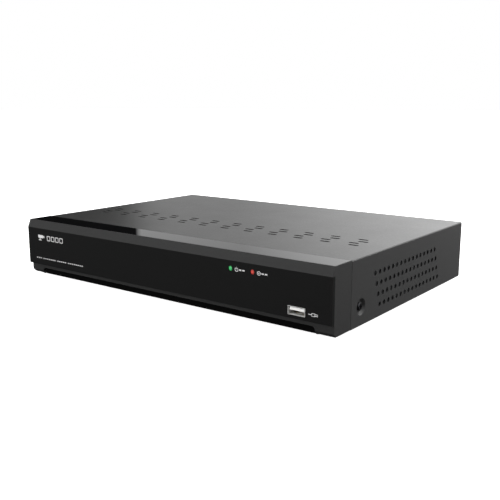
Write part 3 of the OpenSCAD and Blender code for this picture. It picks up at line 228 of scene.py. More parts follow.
def lit(name, base, core, node, size=1.9, strength=0.12):
    """A light pipe of diffusing acrylic: bright in its middle and deeper at its rim."""
    middle = middle_of(node)
    material = finish(name, base, core, size, (0.16, 0.12), pattern="glow",
                      centre=(middle.x, FRONT, middle.z), edges=(0.0, 0.9), IOR=1.49)
    tree = material.node_tree
    shader = tree.nodes["Principled BSDF"]
    tree.links.new(shader.inputs["Base Color"].links[0].from_socket,
                   shader.inputs["Emission Color"])
    shader.inputs["Emission Strength"].default_value = strength
    return material


def node_finishes(colours):
    """The finish of each CAD node, by what the real part is made of and how it was made."""
    hub = (*middle_of("platters").xy, 0)
    # Powder coat on steel: satin orange peel a millimetre across, a little lighter on its crests
    cover = finish("powder_coated_steel", colours.cover, shade(colours.cover, 1.16), 1.1,
                   (0.29, 0.34), bump=0.012, grain=0.9, smudge=0.03, IOR=1.43)
    # Hot-dip galvanised steel: frost-like crystals about 9 mm across that differ in shine
    zinc = finish("galvanised_sheet", linear("#a9acae"), linear("#bfc2c4"), 9, (0.38, 0.48),
                  metallic=1.0, pattern="spangle", edges=(0.1, 0.9), bump=0.004, grain=0.7)
    # Injection moulded ABS with a spark-eroded texture that scatters the highlight
    moulding = finish("textured_black_abs", colours.moulding, shade(colours.moulding, 1.14),
                      0.7, (0.46, 0.54), bump=0.01, grain=0.45, smudge=0.02, IOR=1.54)
    # The panel is the same plastic from a finer tool, so it is darker and smoother
    panel = finish("fine_black_abs", colours.panel, shade(colours.panel, 1.1), 0.9,
                   (0.34, 0.4), bump=0.004, grain=0.5, smudge=0.04,
                   **{"Specular IOR Level": 0.12})
    # Cast acrylic, back-painted black: a deep mirror gloss with faint wiping marks
    trim = finish("gloss_black_acrylic", colours.trim, shade(colours.trim, 1.5), 6,
                  (0.008, 0.014), smudge=0.004, IOR=1.49)
    green = lit("green_light_pipe", colours.power_light, linear("#52bd76"), "power_light_pipe")
    red = lit("red_light_pipe", colours.disk_light, linear("#c8534a"), "disk_light_pipe")
    # Clear epoxy lamp bodies: pale, with a wet gloss
    lamp = finish("clear_epoxy", linear("#d9d6cc"), linear("#efece2"), 2, (0.08, 0.14), IOR=1.55)
    # Solder mask over copper tracks: tracks show as paler lines about 1.6 mm apart
    board = finish("green_solder_mask", linear("#2f7a4a"), linear("#14492c"), 3.2, (0.3, 0.42),
                   pattern="tracks", edges=(0.03, 0.06), bump=0.02, grain=1.4, IOR=1.5)
    # Nickel plated pressed steel: bright with fine drawing lines
    plated = finish("nickel_plated_steel", linear("#c6c8ca"), linear("#d6d7d9"), 0.8,
                    (0.26, 0.32), metallic=1.0, pattern="brushed", stretch=(1, 0.08, 0.3),
                    bump=0.0003, grain=0.9)
    # Matt tin plate of the data sockets: pale and soft, more paint-like than mirror-like
    tinned = finish("matt_tin_plate", linear("#c8c8c6"), linear("#dededc"), 0.8, (0.4, 0.52),
                    metallic=0.35, bump=0.003, grain=0.4)
    # Glass-filled PBT socket bodies: satin, with a slight grain from the glass
    white = finish("white_pbt", linear("#e6e6e4"), linear("#f4f4f2"), 1.2, (0.34, 0.44),
                   bump=0.006, grain=0.4, IOR=1.57)
    black = finish("black_pbt", linear("#161618"), linear("#222225"), 1.2, (0.4, 0.52),
                   bump=0.008, grain=0.4, IOR=1.57)
    blue = finish("blue_pbt", linear("#2458a8"), linear("#3368ba"), 1.2, (0.36, 0.46),
                  bump=0.006, grain=0.4, IOR=1.57)
    # Zinc plated screws: pale with a faint yellow-blue cast from the passivation
    zinc_screw = finish("passivated_zinc", linear("#b9bcc4"), linear("#d0cfc4"), 1.4, (0.24, 0.38),
                        metallic=1.0, bump=0.004, grain=0.4)
    # Black oxide screws: oily black steel that shows metal where the driver sits
    dark_screw = finish("black_oxide_steel", linear("#202022"), linear("#3a3a3d"), 1.6,
                        (0.3, 0.46), metallic=0.85, bump=0.006, grain=0.35)
    # Moulded rubber feet: matt, with a powdery bloom
    rubber = finish("moulded_rubber", linear("#171717"), linear("#272626"), 2.4, (0.72, 0.88),
                    bump=0.03, grain=0.6, IOR=1.52)
    # Filled epoxy of the chips: dull black with glassy specks
    chip = finish("filled_epoxy", linear("#1b1c1f"), linear("#2a2b2f"), 0.35, (0.5, 0.66),
                  bump=0.008, grain=0.2, IOR=1.55)
    # Extruded and anodised aluminium: fine lines along the fins
    anodised = finish("anodised_aluminium", linear("#8f9398"), linear("#a9adb2"), 0.6,
                      (0.3, 0.42), metallic=0.9, pattern="brushed", stretch=(1, 0.03, 1),
                      bump=0.004, grain=0.4)
    # Shrink sleeve over an aluminium can: a smooth film with slight ripples
    sleeve = finish("capacitor_sleeve", linear("#22252e"), linear("#30343f"), 3, (0.22, 0.32),
                    bump=0.01, grain=1.5, IOR=1.54)
    # Pressed iron powder: dark grey and grainy
    ferrite = finish("pressed_ferrite", linear("#333336"), linear("#4b4b4f"), 0.5, (0.5, 0.66),
                     metallic=0.25, bump=0.02, grain=0.3)
    # Drawn stainless cell can: bright, with fine lines across its lid
    cell = finish("stainless_cell", linear("#b4b7bb"), linear("#d3d5d8"), 0.5, (0.2, 0.32),
                  metallic=1.0, pattern="brushed", stretch=(1, 0.05, 1))
    # Natural nylon headers: slightly yellow and waxy
    header = finish("natural_nylon", linear("#dcd7c6"), linear("#ebe7d9"), 2, (0.34, 0.44),
                    bump=0.006, grain=0.5, IOR=1.53)
    # Gold flash over nickel: warm and nearly mirror-bright
    gold = finish("gold_flash", linear("#c79a3c"), linear("#e0bd63"), 0.6, (0.14, 0.28),
                  metallic=1.0, bump=0.002, grain=0.3)
    # Polycarbonate of the rocker and its frame: polished in the tool, so it is glossy
    switch = finish("black_polycarbonate", linear("#131315"), linear("#1b1b1e"), 1.5, (0.2, 0.28),
                    bump=0.004, grain=0.7, IOR=1.58)
    # Die-cast drive body: grey with a soft sparkle and flow marks
    cast = finish("die_cast_aluminium", linear("#85888c"), linear("#a3a6aa"), 2.6, (0.38, 0.56),
                  metallic=0.9, bump=0.02, grain=0.8)
    # Brushed stainless drive lid: lines along its length draw out the highlight
    lid = finish("brushed_stainless", linear("#a9acb0"), linear("#cdd0d3"), 0.7, (0.24, 0.38),
                 metallic=1.0, pattern="brushed", stretch=(1, 0.02, 1), bump=0.003, grain=0.4)
    # Ground steel of the shafts and magnets: bright, with fine grinding lines
    ground = finish("ground_steel", linear("#a3a6aa"), linear("#c0c3c7"), 0.3, (0.16, 0.28),
                    metallic=1.0, pattern="brushed", stretch=(1, 1, 0.05))
    # Turned aluminium: cutting rings round the spindle, 0.5 mm apart so that they show
    turned = finish("turned_aluminium", linear("#9fa2a6"), linear("#bcbfc3"), 0.5, (0.18, 0.3),
                    metallic=1.0, pattern="rings", centre=hub, bump=0.002)
    # Polished platters: near-perfect mirrors with barely visible zones
    mirror = finish("polished_platter", linear("#c9cbcf"), linear("#d6d8db"), 4.0, (0.015, 0.03),
                    metallic=1.0, pattern="rings", centre=hub)
    # Glass-filled fan plastic: dull black with a fine grain
    fan = finish("fan_pbt", linear("#19191b"), linear("#262629"), 1.6, (0.36, 0.5), bump=0.01,
                 grain=0.5, IOR=1.57)
    # PVC insulation of the leads: a waxy sheen with slight waves
    red_pvc = finish("red_pvc", linear("#9e2222"), linear("#b93333"), 3, (0.34, 0.46), bump=0.01,
                     grain=0.8, IOR=1.53)
    black_pvc = finish("black_pvc", linear("#1b1b1d"), linear("#2b2b2e"), 3, (0.34, 0.46),
                       bump=0.01, grain=0.8, IOR=1.53)
    grey_pvc = finish("grey_ribbon_pvc", linear("#b4b7bb"), linear("#d2d4d7"), 1.27, (0.36, 0.48),
                      bump=0.01, grain=0.8, IOR=1.53)
    # Moulded nylon plugs: satin black
    nylon = finish("black_nylon", linear("#151517"), linear("#212124"), 1.4, (0.38, 0.5),
                   bump=0.008, grain=0.5, IOR=1.53)
    return {
        cover: "top_cover",
        zinc: "chassis",
        moulding: "front_bezel",
        panel: "front_panel",
        trim: "top_trim",
        green: "power_light_pipe",
        red: "disk_light_pipe",
        lamp: "indicator_leds",
        board: "front_board mainboard disk_board",
        plated: "port_shields video_out_shell monitor_port_shell inlet_pin",
        tinned: "usb_shells",
        white: "usb_tongues",
        black: "port_inserts video_out_tongue audio_block power_inlet cell_holder buzzer"
               " disk_connector",
        blue: "monitor_port_insert",
        zinc_screw: "board_screws monitor_port_nuts disk_cover_screws disk_mount_screws",
        dark_screw: "case_screws fan_screws",
        rubber: "rubber_feet",
        chip: "processor board_chips line_transformers",
        anodised: "heatsink",
        sleeve: "capacitors",
        ferrite: "power_coils",
        cell: "coin_cell",
        header: "board_headers",
        gold: "port_contacts audio_sleeves",
        switch: "switch_housing switch_rocker",
        cast: "disk_base head_arm",
        lid: "disk_cover",
        ground: "disk_shafts coil_magnets",
        turned: "spindle_hub",
        mirror: "platters",
        fan: "fan_frame fan_rotor",
        red_pvc: "data_lead",
        black_pvc: "power_lead fan_lead switch_lead",
        grey_pvc: "front_lead",
        nylon: "lead_plugs",
    }


# ---- Modelling steps shared by the small pieces ----


def start(name):
    """Adds an empty sketch mesh at the origin, in edit mode, with nothing else selected."""
    bpy.ops.object.select_all(action="DESELECT")
    bpy.ops.mesh.primitive_plane_add(size=1)
    piece = bpy.context.object
    piece.name = piece.data.name = name
    bpy.ops.object.mode_set(mode="EDIT")
    bpy.ops.mesh.delete(type="VERT")
    return piece


def pick(chosen):
    """Selects only the faces whose centre and normal pass the test, in face mode."""
    bpy.ops.mesh.select_all(action="DESELECT")
    bpy.ops.object.mode_set(mode="OBJECT")
    piece = bpy.context.object
    faces = [face for face in piece.data.polygons if chosen(face.center, face.normal)]
    if not faces:
        raise RuntimeError(f"{piece.name} has no such face")
    for face in faces:
        face.select = True
    bpy.ops.object.mode_set(mode="EDIT")
    bpy.ops.mesh.select_mode(type="FACE")


def on_top(_, normal):
    """Test for pick: the faces on top of a thickened sketch."""
    return normal.z > 0.9


def bar(x, y, width, height, corner=0.0, turn=0.0):
    """Draws a flat bar with rounded corners in the sketch, in mm."""
    bpy.ops.mesh.select_all(action="DESELECT")
    middle = (x * MM, y * MM, 0)
    bpy.ops.mesh.primitive_plane_add(size=MM, location=middle)
    bpy.ops.transform.resize(value=(width, height, 1), center_override=middle)
    if turn:
        bpy.ops.transform.rotate(value=-turn, orient_axis="Z", center_override=middle)
    if corner:
        bpy.ops.mesh.bevel(offset=corner * MM, segments=3, affect="VERTICES")


def frame_bar(x, y, width, height, corner, line):
    """Draws the outline of a rounded bar in the sketch, in mm."""
    bar(x, y, width, height, corner)
    bpy.ops.mesh.inset(thickness=line * MM)
    bpy.ops.mesh.delete(type="FACE")


def dot(x, y, radius, sides=20):
    """Draws a flat round dot in the sketch, in mm."""
    bpy.ops.mesh.select_all(action="DESELECT")
    bpy.ops.mesh.primitive_circle_add(vertices=sides, radius=radius * MM, fill_type="NGON",
                                      location=(x * MM, y * MM, 0))


def ring(x, y, radius, line, gap=None, sides=28):
    """Draws a flat ring in the sketch, in mm. gap is the middle and half width of an opening."""
    dot(x, y, radius, sides)
    bpy.ops.mesh.inset(thickness=line * MM)
    bpy.ops.mesh.delete(type="FACE")
    if gap:
        middle, half = gap

        def in_gap(centre, _):
            offset = Vector((centre.x - x * MM, centre.y - y * MM))
            near = abs(offset.length - (radius - line / 2) * MM) < line * MM
            angle = math.atan2(offset.y, offset.x)
            return near and abs((angle - middle + math.pi) % math.tau - math.pi) < half

        pick(in_gap)
        bpy.ops.mesh.delete(type="FACE")


def thicken(height):
    """Extrudes the whole sketch upwards, in mm."""
    bpy.ops.mesh.select_all(action="SELECT")
    bpy.ops.mesh.extrude_region_move(TRANSFORM_OT_translate={"value": (0, 0, height * MM)})
    bpy.ops.mesh.select_all(action="SELECT")
    bpy.ops.mesh.normals_make_consistent(inside=False)


def crown(rim, rise):
    """Insets the top of a thickened sketch and raises what lies within, in mm."""
    pick(on_top)
    bpy.ops.mesh.inset(thickness=rim * MM)
    bpy.ops.transform.translate(value=(0, 0, rise * MM))


def seat(piece, facing, at, material, slot=None, body="case"):
    """Turns a finished piece to its wall, moves it there in mm and puts its finish on."""
    bpy.ops.object.mode_set(mode="OBJECT")
    bpy.ops.object.select_all(action="DESELECT")
    piece.select_set(True)
    bpy.context.view_layer.objects.active = piece
    piece.rotation_euler = facing
    piece.location = [v * MM for v in at]
    bpy.ops.object.transform_apply(location=True, rotation=True, scale=True)
    bpy.ops.object.shade_smooth_by_angle(angle=math.radians(35))
    piece.data.materials.clear()
    piece.data.materials.append(material)
    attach(piece, body)


def seat_copies(piece, seats):
    """Seats a finished piece, and for each further seat a copy with its own mesh.

    A seat is a name, then what seat takes: facing, place in mm, finish and slot.
    """
    bpy.ops.object.mode_set(mode="OBJECT")
    pieces = [piece]
    for _ in seats[1:]:
        copy = piece.copy()
        copy.data = piece.data.copy()
        bpy.context.collection.objects.link(copy)
        pieces.append(copy)
    for each, (name, *place) in zip(pieces, seats):
        each.name = each.data.name = name
        seat(each, *place)


def ink_finish(name, tone):
    """Pad-printed ink: a dull film that thins slightly and shows its screen at 0.3 mm."""
    return finish(name, tone, shade(tone, 0.9), 0.3, (0.5, 0.62), bump=0.004, grain=0.25,
                  IOR=1.5)


def print_mark(name, draw, facing, wall, ink):
    """Prints a mark on the front or rear wall, from the function that sketches it."""
    piece = start(name)
    draw()
    thicken(bpy.context.scene.recorder_sizes.ink_height / MM)
    seat(piece, facing, (0, wall, 0), ink)


# ---- Printed marks, sketched in mm as the reader of the wall sees them ----


def draw_channels():
    """A camera on its bracket, then one open square for each of the four channels."""
    x, z = -133.4, 34.9
    bar(x, z, 6.4, 2.5, 0.5)
    bar(x + 4.2, z, 1.3, 1.7, 0.25)
    bar(x - 0.8, z - 2.0, 0.8, 1.6, 0.1)
    bar(x - 0.8, z - 2.95, 3.6, 0.75, 0.2)
    for channel in range(4):
        frame_bar(x + 10.5 + channel * 5.4, z - 0.75, 4.2, 4.2, 0.7, 0.6)


def draw_caption():
    """Dashes in four groups, where a caption would be."""
    x, z = -139.3, 16.4
    for count in (3, 7, 5, 8):
        for _ in range(count):
            bar(x, z, 1.4, 0.85, 0.2)
            x += 2.4
        x += 1.6


def draw_word(x, z):
    """Two dashes that stand for a word, on the right of a light's symbol."""
    for step in (3.1, 5.8):
        bar(x + step, z, 1.9, 0.95, 0.2)


def draw_power():
    """A switch symbol and its word beside the power light."""
    x, z = 76.0, 36.1
    ring(x, z, 1.45, 0.38, (math.pi / 2, 0.5))
    bar(x, z + 0.9, 0.38, 1.6, 0.1)
    draw_word(x, z)


def draw_disk():
    """A disk symbol and its word beside the disk light."""
    x, z = 94.5, 36.1
    ring(x, z, 1.45, 0.38)
    dot(x, z, 0.4)
    draw_word(x, z)


def draw_socket():
    """A plug symbol beside the data socket."""
    x, z = 136.6, 15.6
    bar(x - 2.5, z, 2.4, 0.45, 0.1)
    frame_bar(x, z, 2.8, 2.2, 0.5, 0.4)
    for rise in (0.5, -0.5):
        bar(x + 2.4, z + rise, 2.0, 0.4, 0.1)


def draw_rear():
    """A plain symbol by each rear socket. From behind, x runs against the recorder's."""
    x, z = 134.1, 23.3  # direct current
    bar(x, z, 4.4, 0.5, 0.1)
    for step in (-1.6, 0, 1.6):
        bar(x + step, z - 1.1, 1.0, 0.5, 0.1)
    x, z = 79.0, 39.6  # camera
    bar(x, z, 4.6, 2.2, 0.4)
    bar(x - 3.1, z, 1.2, 1.4, 0.2)
    bar(x + 0.8, z - 1.7, 0.7, 1.3, 0.1)
    x, z = 51.6, 26.8  # network
    for step, rise in ((0, 1.4), (-2.2, -1.6), (2.2, -1.6)):
        frame_bar(x + step, z + rise, 2.0, 1.6, 0.2, 0.4)
    bar(x, z, 5.0, 0.35)
    for x, z in ((32.1, 21.0), (5.6, 26.0)):  # monitors
        frame_bar(x, z, 5.0, 3.4, 0.4, 0.45)
        bar(x, z - 2.4, 2.6, 0.5, 0.1)
    x, z = -19.2, 19.6  # plug
    bar(x + 1.9, z, 1.6, 0.45, 0.1)
    bar(x, z, 2.4, 2.0, 0.4)
    for rise in (0.5, -0.5):
        bar(x - 1.9, z + rise, 1.5, 0.45, 0.1)
    x = -41.9  # sound in and out
    for z, way in ((16.4, -1), (30.4, 1)):
        ring(x, z, 1.9, 0.45)
        bar(x, z, 2.0, 0.45)
        for side in (1, -1):
            bar(x + way * 0.55, z + side * 0.45, 1.3, 0.4, 0.1, -side * way * 0.75)
    x, z = -125.8, 21.6  # ground
    bar(x, z, 0.5, 2.2)
    for row, width in enumerate((4.2, 2.8, 1.4)):
        bar(x, z - 1.3 - row * 0.95, width, 0.45, 0.1)


# ---- Operators ----


class RECORDER_OT_finishes(bpy.types.Operator):
    """Puts the real material's finish on every part of the CAD frame"""

    bl_idname = "recorder.finishes"
    bl_label = "Finishes"

    def execute(self, context):
        left = set(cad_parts)
        for material, names in node_finishes(context.scene.recorder_colours).items():
            for name in names.split():
                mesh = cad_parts[name].data
                mesh.materials.clear()
                mesh.materials.append(material)
                left.discard(name)
        if left:
            raise RuntimeError(f"no finish for {sorted(left)}")
        return {"FINISHED"}


class RECORDER_OT_front_marks(bpy.types.Operator):
    """Prints the plain marks on the front panel: cameras, caption dashes, lights and socket"""

    bl_idname = "recorder.front_marks"
    bl_label = "Front Marks"

    def execute(self, context):
        ink = ink_finish("white_front_ink", context.scene.recorder_colours.ink)
        for name, draw in (("channel_mark", draw_channels), ("caption_dashes", draw_caption),
                           ("power_mark", draw_power), ("disk_mark", draw_disk),
                           ("socket_mark", draw_socket)):
            print_mark(name, draw, FACING_FRONT, FRONT, ink)
        return {"FINISHED"}


class RECORDER_OT_recess_painted_shade(bpy.types.Operator):
    """Models a near-black sheet on the back wall of the recess under the lip: painted shade that
    keeps the recess dark
    """

    bl_idname = "recorder.recess_lining"
    bl_label = "Recess Painted Shade"

    def execute(self, context):
        # Painted shade: a near-black sheet with almost no shine, its fibre-like relief about a
        # third of a millimetre across
        shade_sheet = finish("painted_shade_black", linear("#060606"), linear("#0b0b0b"), 0.35, (0.9, 1.0),
                      bump=0.05, grain=0.3, **{"Specular IOR Level": 0.05})
        width, height, corner = 271.2, 5.0, 2.0
        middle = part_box("front_bezel")[0].z / MM + 2.6
        back_wall = FRONT + 5.38
        piece = start("recess_lining")
        bar(0, middle, width, height, corner)
        thicken(context.scene.recorder_sizes.shade_sheet_thickness / MM)
        # The sheet of painted shade stands on the recess's back wall
        seat(piece, FACING_FRONT, (0, back_wall, 0), shade_sheet, "rubber")
        return {"FINISHED"}


class RECORDER_OT_rear_marks(bpy.types.Operator):
    """Prints the plain symbols by the rear sockets"""

    bl_idname = "recorder.rear_marks"
    bl_label = "Rear Marks"

    def execute(self, context):
        ink = ink_finish("black_rear_ink", linear("#1a1a1c"))
        print_mark("rear_symbols", draw_rear, FACING_REAR, REAR, ink)
        return {"FINISHED"}


# Name of each data socket, its place in mm (x, y of the mouth, z) and the way in along y
DATA_SOCKETS = (("front", 123.9, FRONT + 0.1, 15.8, 1), ("rear", 19.4, SHELL, 12.86, -1))
# x and z of each network socket, and the side of its middle that its lights are on
NETWORK_SOCKETS = ((-51.6, 16.0, -1), (-87.0, 16.0, -1), (-87.0, 29.2, 1), (-71.2, 16.0, -1),
                   (-71.2, 29.2, 1))


class RECORDER_OT_data_contacts(bpy.types.Operator):
    """Models the four contact strips and the spring leaves of each data socket"""

    bl_idname = "recorder.data_contacts"
    bl_label = "Data Contacts"

    def execute(self, context):
        # Flat strips with a slight crown lie under each tongue
        gold = bpy.data.materials["gold_flash"]
        seats = []
        for name, x, mouth, z, way in DATA_SOCKETS:
            for number, step in enumerate((-3.5, -1.0, 1.0, 3.5), 1):
                seats.append((f"{name}_contact_{number}", FACING_DOWN,
                              (x + step, mouth + way * 5.0, z + 0.1), gold, "gold_contact"))
        strip = start(seats[0][0])
        bar(0, 0, context.scene.recorder_sizes.contact_width / MM, 6.4, 0.2)
        thicken(0.16)
        crown(0.12, 0.04)
        seat_copies(strip, seats)

        # Spring leaves bulge into the shell from its floor and roof
        plated = bpy.data.materials["nickel_plated_steel"]
        seats = []
        for name, x, mouth, z, way in DATA_SOCKETS:
            for wall, facing, side in (("low", FACING_UP, -1), ("high", FACING_DOWN, 1)):
                for word, step in (("a", -2.9), ("b", 2.9)):
                    place = (x + step, mouth + way * 4.2, z + side * 2.54)
                    seats.append((f"{name}_leaf_{wall}_{word}", facing, place, plated,
                                  "plated_steel"))
        leaf = start(seats[0][0])
        bar(0, 0, 2.0, 5.2, 0.3)
        bpy.ops.mesh.select_all(action="SELECT")
        bpy.ops.mesh.subdivide(number_cuts=4)
        thicken(0.2)
        pick(lambda centre, normal: on_top(centre, normal) and abs(centre.y) < 1.4 * MM)
        bpy.ops.transform.translate(value=(0, 0, 0.16 * MM))
        seat_copies(leaf, seats)
        return {"FINISHED"}


class RECORDER_OT_network_windows(bpy.types.Operator):
    """Models the two light windows of each network socket"""

    bl_idname = "recorder.network_windows"
    bl_label = "Network Windows"

    def execute(self, context):
        # Tinted acrylic windows, unlit: deep colour with a gloss
        amber, green = (
            finish(name, linear(base), linear(tint), 1.4, (0.1, 0.16), IOR=1.49)
            for name, base, tint in (("amber_window", "#b87a1c", "#d8992e"),
                                     ("green_window", "#2d8a3e", "#46a857")))
        seats = []
        for number, (x, z, latch) in enumerate(NETWORK_SOCKETS, 1):
            for word, tone, step in (("link", amber, 5.5), ("speed", green, -5.5)):
                seats.append((f"socket_{number}_{word}_window", FACING_REAR,
                              (x + step, SHELL, z + latch * 4.95), tone, "lamp_plastic"))
        window = start(seats[0][0])
        bar(0, 0, 2.8, 1.6, 0.3)
        thicken(context.scene.recorder_sizes.window_height / MM)
        crown(0.28, 0.12)
        seat_copies(window, seats)
        return {"FINISHED"}


class RECORDER_OT_audio_rings(bpy.types.Operator):
    """Models the coloured rings round the two audio sockets"""

    bl_idname = "recorder.audio_rings"
    bl_label = "Audio Rings"

    def execute(self, context):
        width = context.scene.recorder_sizes.ring_width / MM
        bore, x, gap = 4.55, 32.4, 0.02
        seats = []
        for colour_name, z, base, tint, slot in (
            ("white", 16.4, "#d9d9d6", "#ececea", "socket_white"),
            ("red", 30.4, "#a81f22", "#be3033", "red_lead"),
        ):
            # Moulded nylon collars, waxy and slightly uneven
            tone = finish(f"{colour_name}_audio_nylon", linear(base), linear(tint), 1.5,
                          (0.34, 0.44), bump=0.006, grain=0.5, IOR=1.53)
            seats.append((f"{colour_name}_audio_ring", FACING_REAR, (x, REAR + gap, z), tone,
                          slot))
        piece = start(seats[0][0])
        ring(0, 0, bore + width, width, sides=48)
        thicken(1.1)
        crown(0.3, 0.25)
        seat_copies(piece, seats)
        return {"FINISHED"}


class RECORDER_OT_rocker_marks(bpy.types.Operator):
    """Prints the on and off marks on the rocker, which they turn with"""

    bl_idname = "recorder.rocker_marks"
    bl_label = "Rocker Marks"

    def execute(self, context):
        ink = ink_finish("white_rocker_ink", linear("#dededc"))
        step, gap = 3.7, 0.01
        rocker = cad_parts["switch_rocker"]
        behind = middle_of("switch_rocker") * MM
        behind.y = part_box("switch_rocker")[1].y + 10 * MM
        for name, side in (("rocker_off_mark", -1), ("rocker_on_mark", 1)):
            # Each half of the rocker slopes, so its mark lies where a line from behind meets it
            found, place, normal, _ = rocker.ray_cast(
                behind + Vector((side * step * MM, 0, 0)), Vector((0, -1, 0)))
            if not found:
                raise RuntimeError("the rocker isn't where its marks belong")
            piece = start(name)
            if side < 0:
                ring(0, 0, 1.35, 0.35)
            else:
                bar(0, 0, 0.4, 2.7, 0.1)
            thicken(context.scene.recorder_sizes.ink_height / MM)
            seat(piece, normal.to_track_quat("Z", "Y").to_euler(), place / MM + normal * gap,
                 ink, body="switch_rocker")
        return {"FINISHED"}


class RECORDER_OT_labels(bpy.types.Operator):
    """Models the blank labels on the disk drive and under the case"""

    bl_idname = "recorder.labels"
    bl_label = "Blank Labels"

    def execute(self, context):
        # Coated paper and silvered polyester: smooth films with a faint fibre or foil mottle
        paper = finish("coated_paper", linear("#dfdfdc"), linear("#ececea"), 1.2, (0.42, 0.55),
                       bump=0.004, grain=0.6, IOR=1.5)
        foil = finish("silvered_polyester", linear("#a9abad"), linear("#bfc1c3"), 2.2,
                      (0.3, 0.42), metallic=0.6, bump=0.003, grain=0.8)
        lid = middle_of("disk_cover")
        lid_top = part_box("disk_cover")[1].z / MM
        case_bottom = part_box("chassis")[0].z / MM
        for name, facing, at, (width, depth), tone, slot in (
            ("drive_label", FACING_UP, (lid.x, lid.y - 14, lid_top), (72, 58), paper,
             "socket_white"),
            ("case_label", FACING_DOWN, (-70, 10, case_bottom), (64, 34), foil,
             "galvanised_steel"),
        ):
            piece = start(name)
            bar(0, 0, width, depth, 2.0)
            thicken(context.scene.recorder_sizes.label_height / MM)
            crown(1.2, -0.03)
            seat(piece, facing, at, tone, slot)
        return {"FINISHED"}


# ---- Stage ----

SENSOR = 36  # width of the camera's square sensor, in mm
AIM = Vector((3.3, 2.0, 22.0)) * MM  # the point that the camera looks at
FLOOR_WIDTH = 24
FLOOR_DROP = 0.2 * MM
# The light wall begins at right angles to this direction and has its middle in it
LIGHT_WALL_WAY = math.radians(46.4)
# Its brightness from its edge at 0 to its middle at 1, as a share of the stage's bright_side
LIGHT_WALL = ((0.0, 0.0), (0.006, 0.215), (0.15, 0.2), (0.28, 0.37), (0.42, 0.6), (0.6, 0.9),
              (0.9, 0.42), (1.0, 0.22))
SHEET_WAY = Vector((-0.55, -0.65, 0.52)).normalized()
SHEET_RIM, SHEET_CORE = 0.7, 0.95  # cosines of the angles where the sheet fades in and is full
SOFT_BOXES = (
    # name, place and width in metres, power in watts: above, in front on the left, low right
    ("soft_box_above", (0.1, -0.1, 1.3), 1.4, 1.5),
    ("soft_box_front", (-0.5, -1.5, 0.35), 1.0, 28.0),
    ("soft_box_right", (0.45, 0.7, 0.2), 0.4, 9.0),
)
WHITE = (1, 1, 1, 1)


def grey(tone):
    return (tone, tone, tone, 1)


def point(thing, way):
    """Turns a camera or a light to face a direction."""
    thing.rotation_mode = "QUATERNION"
    thing.rotation_quaternion = way.to_track_quat("-Z", "Y")


def paper_floor():
    """A pale paper sweep: the eye sees near-white, and shiny parts mirror it dimly."""
    material = bpy.data.materials.new("pale_paper")
    material.use_nodes = True
    tree = material.node_tree
    tree.nodes.clear()
    seen = add(tree, "ShaderNodeLightPath")
    place = add(tree, "ShaderNodeTexCoord")
    fibre = add(tree, "ShaderNodeTexNoise", {"Scale": 1 / (2 * MM), "Detail": 3.0},
                {"Vector": (place, "Object")})
    tone = add(tree, "ShaderNodeMapRange", {"To Min": 0.9, "To Max": 0.94},
               {"Value": (fibre, "Fac")})
    paper = add(tree, "ShaderNodeBsdfPrincipled",
                {"Roughness": 0.9, "Specular IOR Level": 0.0, "Emission Color": WHITE,
                 "Emission Strength": 0.85}, {"Base Color": (tone, "Result")})
    dim = add(tree, "ShaderNodeBsdfPrincipled",
              {"Base Color": grey(0.06), "Roughness": 1.0, "Specular IOR Level": 0.0})
    both = add(tree, "ShaderNodeMixShader", None,
               {0: (seen, "Is Camera Ray"), 1: (dim, "BSDF"), 2: (paper, "BSDF")})
    add(tree, "ShaderNodeOutputMaterial", None, {"Surface": (both, "Shader")})
    return material


def studio(stage):
    """A light wall behind on the right, a dark wall on the left and a white view behind all."""
    world = bpy.data.worlds.new("studio")
    world.use_nodes = True
    tree = world.node_tree
    tree.nodes.clear()
    seen = add(tree, "ShaderNodeLightPath")
    way = add(tree, "ShaderNodeTexCoord")
    # The light wall's brightness follows a ramp, and is nothing on the dark side of its edge
    across = add(tree, "ShaderNodeVectorMath",
                 {1: (math.cos(LIGHT_WALL_WAY), math.sin(LIGHT_WALL_WAY), 0)},
                 {0: (way, "Generated")}, operation="DOT_PRODUCT")
    wall = add(tree, "ShaderNodeValToRGB", None, {"Fac": (across, "Value")})
    stops = wall.color_ramp.elements
    (_, edge), *between, (_, middle) = LIGHT_WALL
    stops[0].color, stops[1].color = grey(edge), grey(middle)
    for position, tone in between:
        stops.new(position).color = grey(tone)
    # A dim sheet high in front on the left, which only forward-facing slopes mirror
    facing = add(tree, "ShaderNodeVectorMath", {1: SHEET_WAY}, {0: (way, "Generated")},
                 operation="DOT_PRODUCT")
    sheet = add(tree, "ShaderNodeMapRange",
                {"From Min": SHEET_RIM, "From Max": SHEET_CORE, "To Min": stage.dark_side,
                 "To Max": stage.front_sheet}, {"Value": (facing, "Value")})
    level = add(tree, "ShaderNodeMath", {1: stage.bright_side},
                {0: (wall, "Color"), 2: (sheet, "Result")}, operation="MULTIPLY_ADD")
    glow = add(tree, "ShaderNodeBackground", {"Color": WHITE}, {"Strength": (level, "Value")})
    pale = add(tree, "ShaderNodeBackground", {"Color": WHITE, "Strength": 1.0})
    both = add(tree, "ShaderNodeMixShader", None,
               {0: (seen, "Is Camera Ray"), 1: (glow, "Background"), 2: (pale, "Background")})
    add(tree, "ShaderNodeOutputWorld", None, {"Surface": (both, "Shader")})
    return world


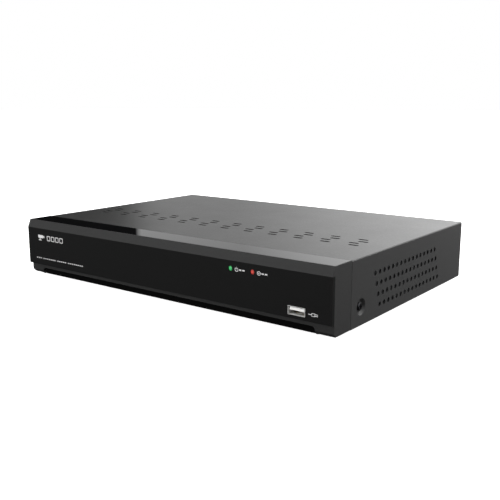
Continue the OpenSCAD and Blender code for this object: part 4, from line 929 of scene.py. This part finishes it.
class RECORDER_OT_stage(bpy.types.Operator):
    """Sets up the camera, the pale floor and the soft studio light"""

    bl_idname = "recorder.stage"
    bl_label = "Stage"

    def execute(self, context):
        scene = context.scene
        stage = scene.recorder_stage
        scene.view_settings.view_transform = "Standard"
        scene.view_settings.look = "None"
        scene.world = studio(stage)

        flat = math.cos(stage.elevation)
        back = Vector((math.sin(stage.azimuth) * flat, -math.cos(stage.azimuth) * flat,
                       math.sin(stage.elevation)))
        bpy.ops.object.camera_add(location=AIM + back * stage.distance)
        scene.camera = context.object
        point(scene.camera, -back)
        scene.camera.data.sensor_width = SENSOR
        scene.camera.data.lens = stage.lens
        scene.camera.data.clip_start, scene.camera.data.clip_end = 0.01, 30

        bpy.ops.object.select_all(action="DESELECT")
        bpy.ops.mesh.primitive_plane_add(size=FLOOR_WIDTH, location=(0, 0, -FLOOR_DROP))
        floor = context.object
        floor.name = "floor"
        floor.data.materials.append(paper_floor())

        for name, place, width, power in SOFT_BOXES:
            bpy.ops.object.light_add(type="AREA", location=place)
            box = context.object
            box.name = box.data.name = name
            box.data.shape, box.data.size, box.data.energy = "SQUARE", width, power
            point(box, -Vector(place))
            box.visible_camera = box.visible_glossy = False
        return {"FINISHED"}


class RECORDER_PT_sidebar(bpy.types.Panel):
    """Lists the recorder's steps and the values they read."""

    bl_label = "Video Recorder"
    bl_space_type = "VIEW_3D"
    bl_region_type = "UI"
    bl_category = "Recorder"

    def draw(self, context):
        for group in ("recorder_sizes", "recorder_colours", "recorder_stage"):
            values = getattr(context.scene, group)
            column = self.layout.column(align=True)
            for name in values.__annotations__:
                column.prop(values, name)
        for step in STEPS:
            self.layout.operator(step.bl_idname)


GROUPS = (("recorder_sizes", RecorderSizes), ("recorder_colours", RecorderColours),
          ("recorder_stage", RecorderStage))
STEPS = (RECORDER_OT_stage, RECORDER_OT_finishes, RECORDER_OT_front_marks,
         RECORDER_OT_recess_painted_shade, RECORDER_OT_rear_marks, RECORDER_OT_data_contacts,
         RECORDER_OT_network_windows, RECORDER_OT_audio_rings, RECORDER_OT_rocker_marks,
         RECORDER_OT_labels)


def register():
    for name, group in GROUPS:
        bpy.utils.register_class(group)
        setattr(bpy.types.Scene, name, bpy.props.PointerProperty(type=group))
    for step in (*STEPS, RECORDER_PT_sidebar):
        bpy.utils.register_class(step)


def unregister():
    for step in reversed((*STEPS, RECORDER_PT_sidebar)):
        bpy.utils.unregister_class(step)
    for name, group in reversed(GROUPS):
        delattr(bpy.types.Scene, name)
        bpy.utils.unregister_class(group)


def main():
    register()
    for step in STEPS:
        group, name = step.bl_idname.split(".")
        getattr(getattr(bpy.ops, group), name)()


if __name__ == "__main__":
    main()
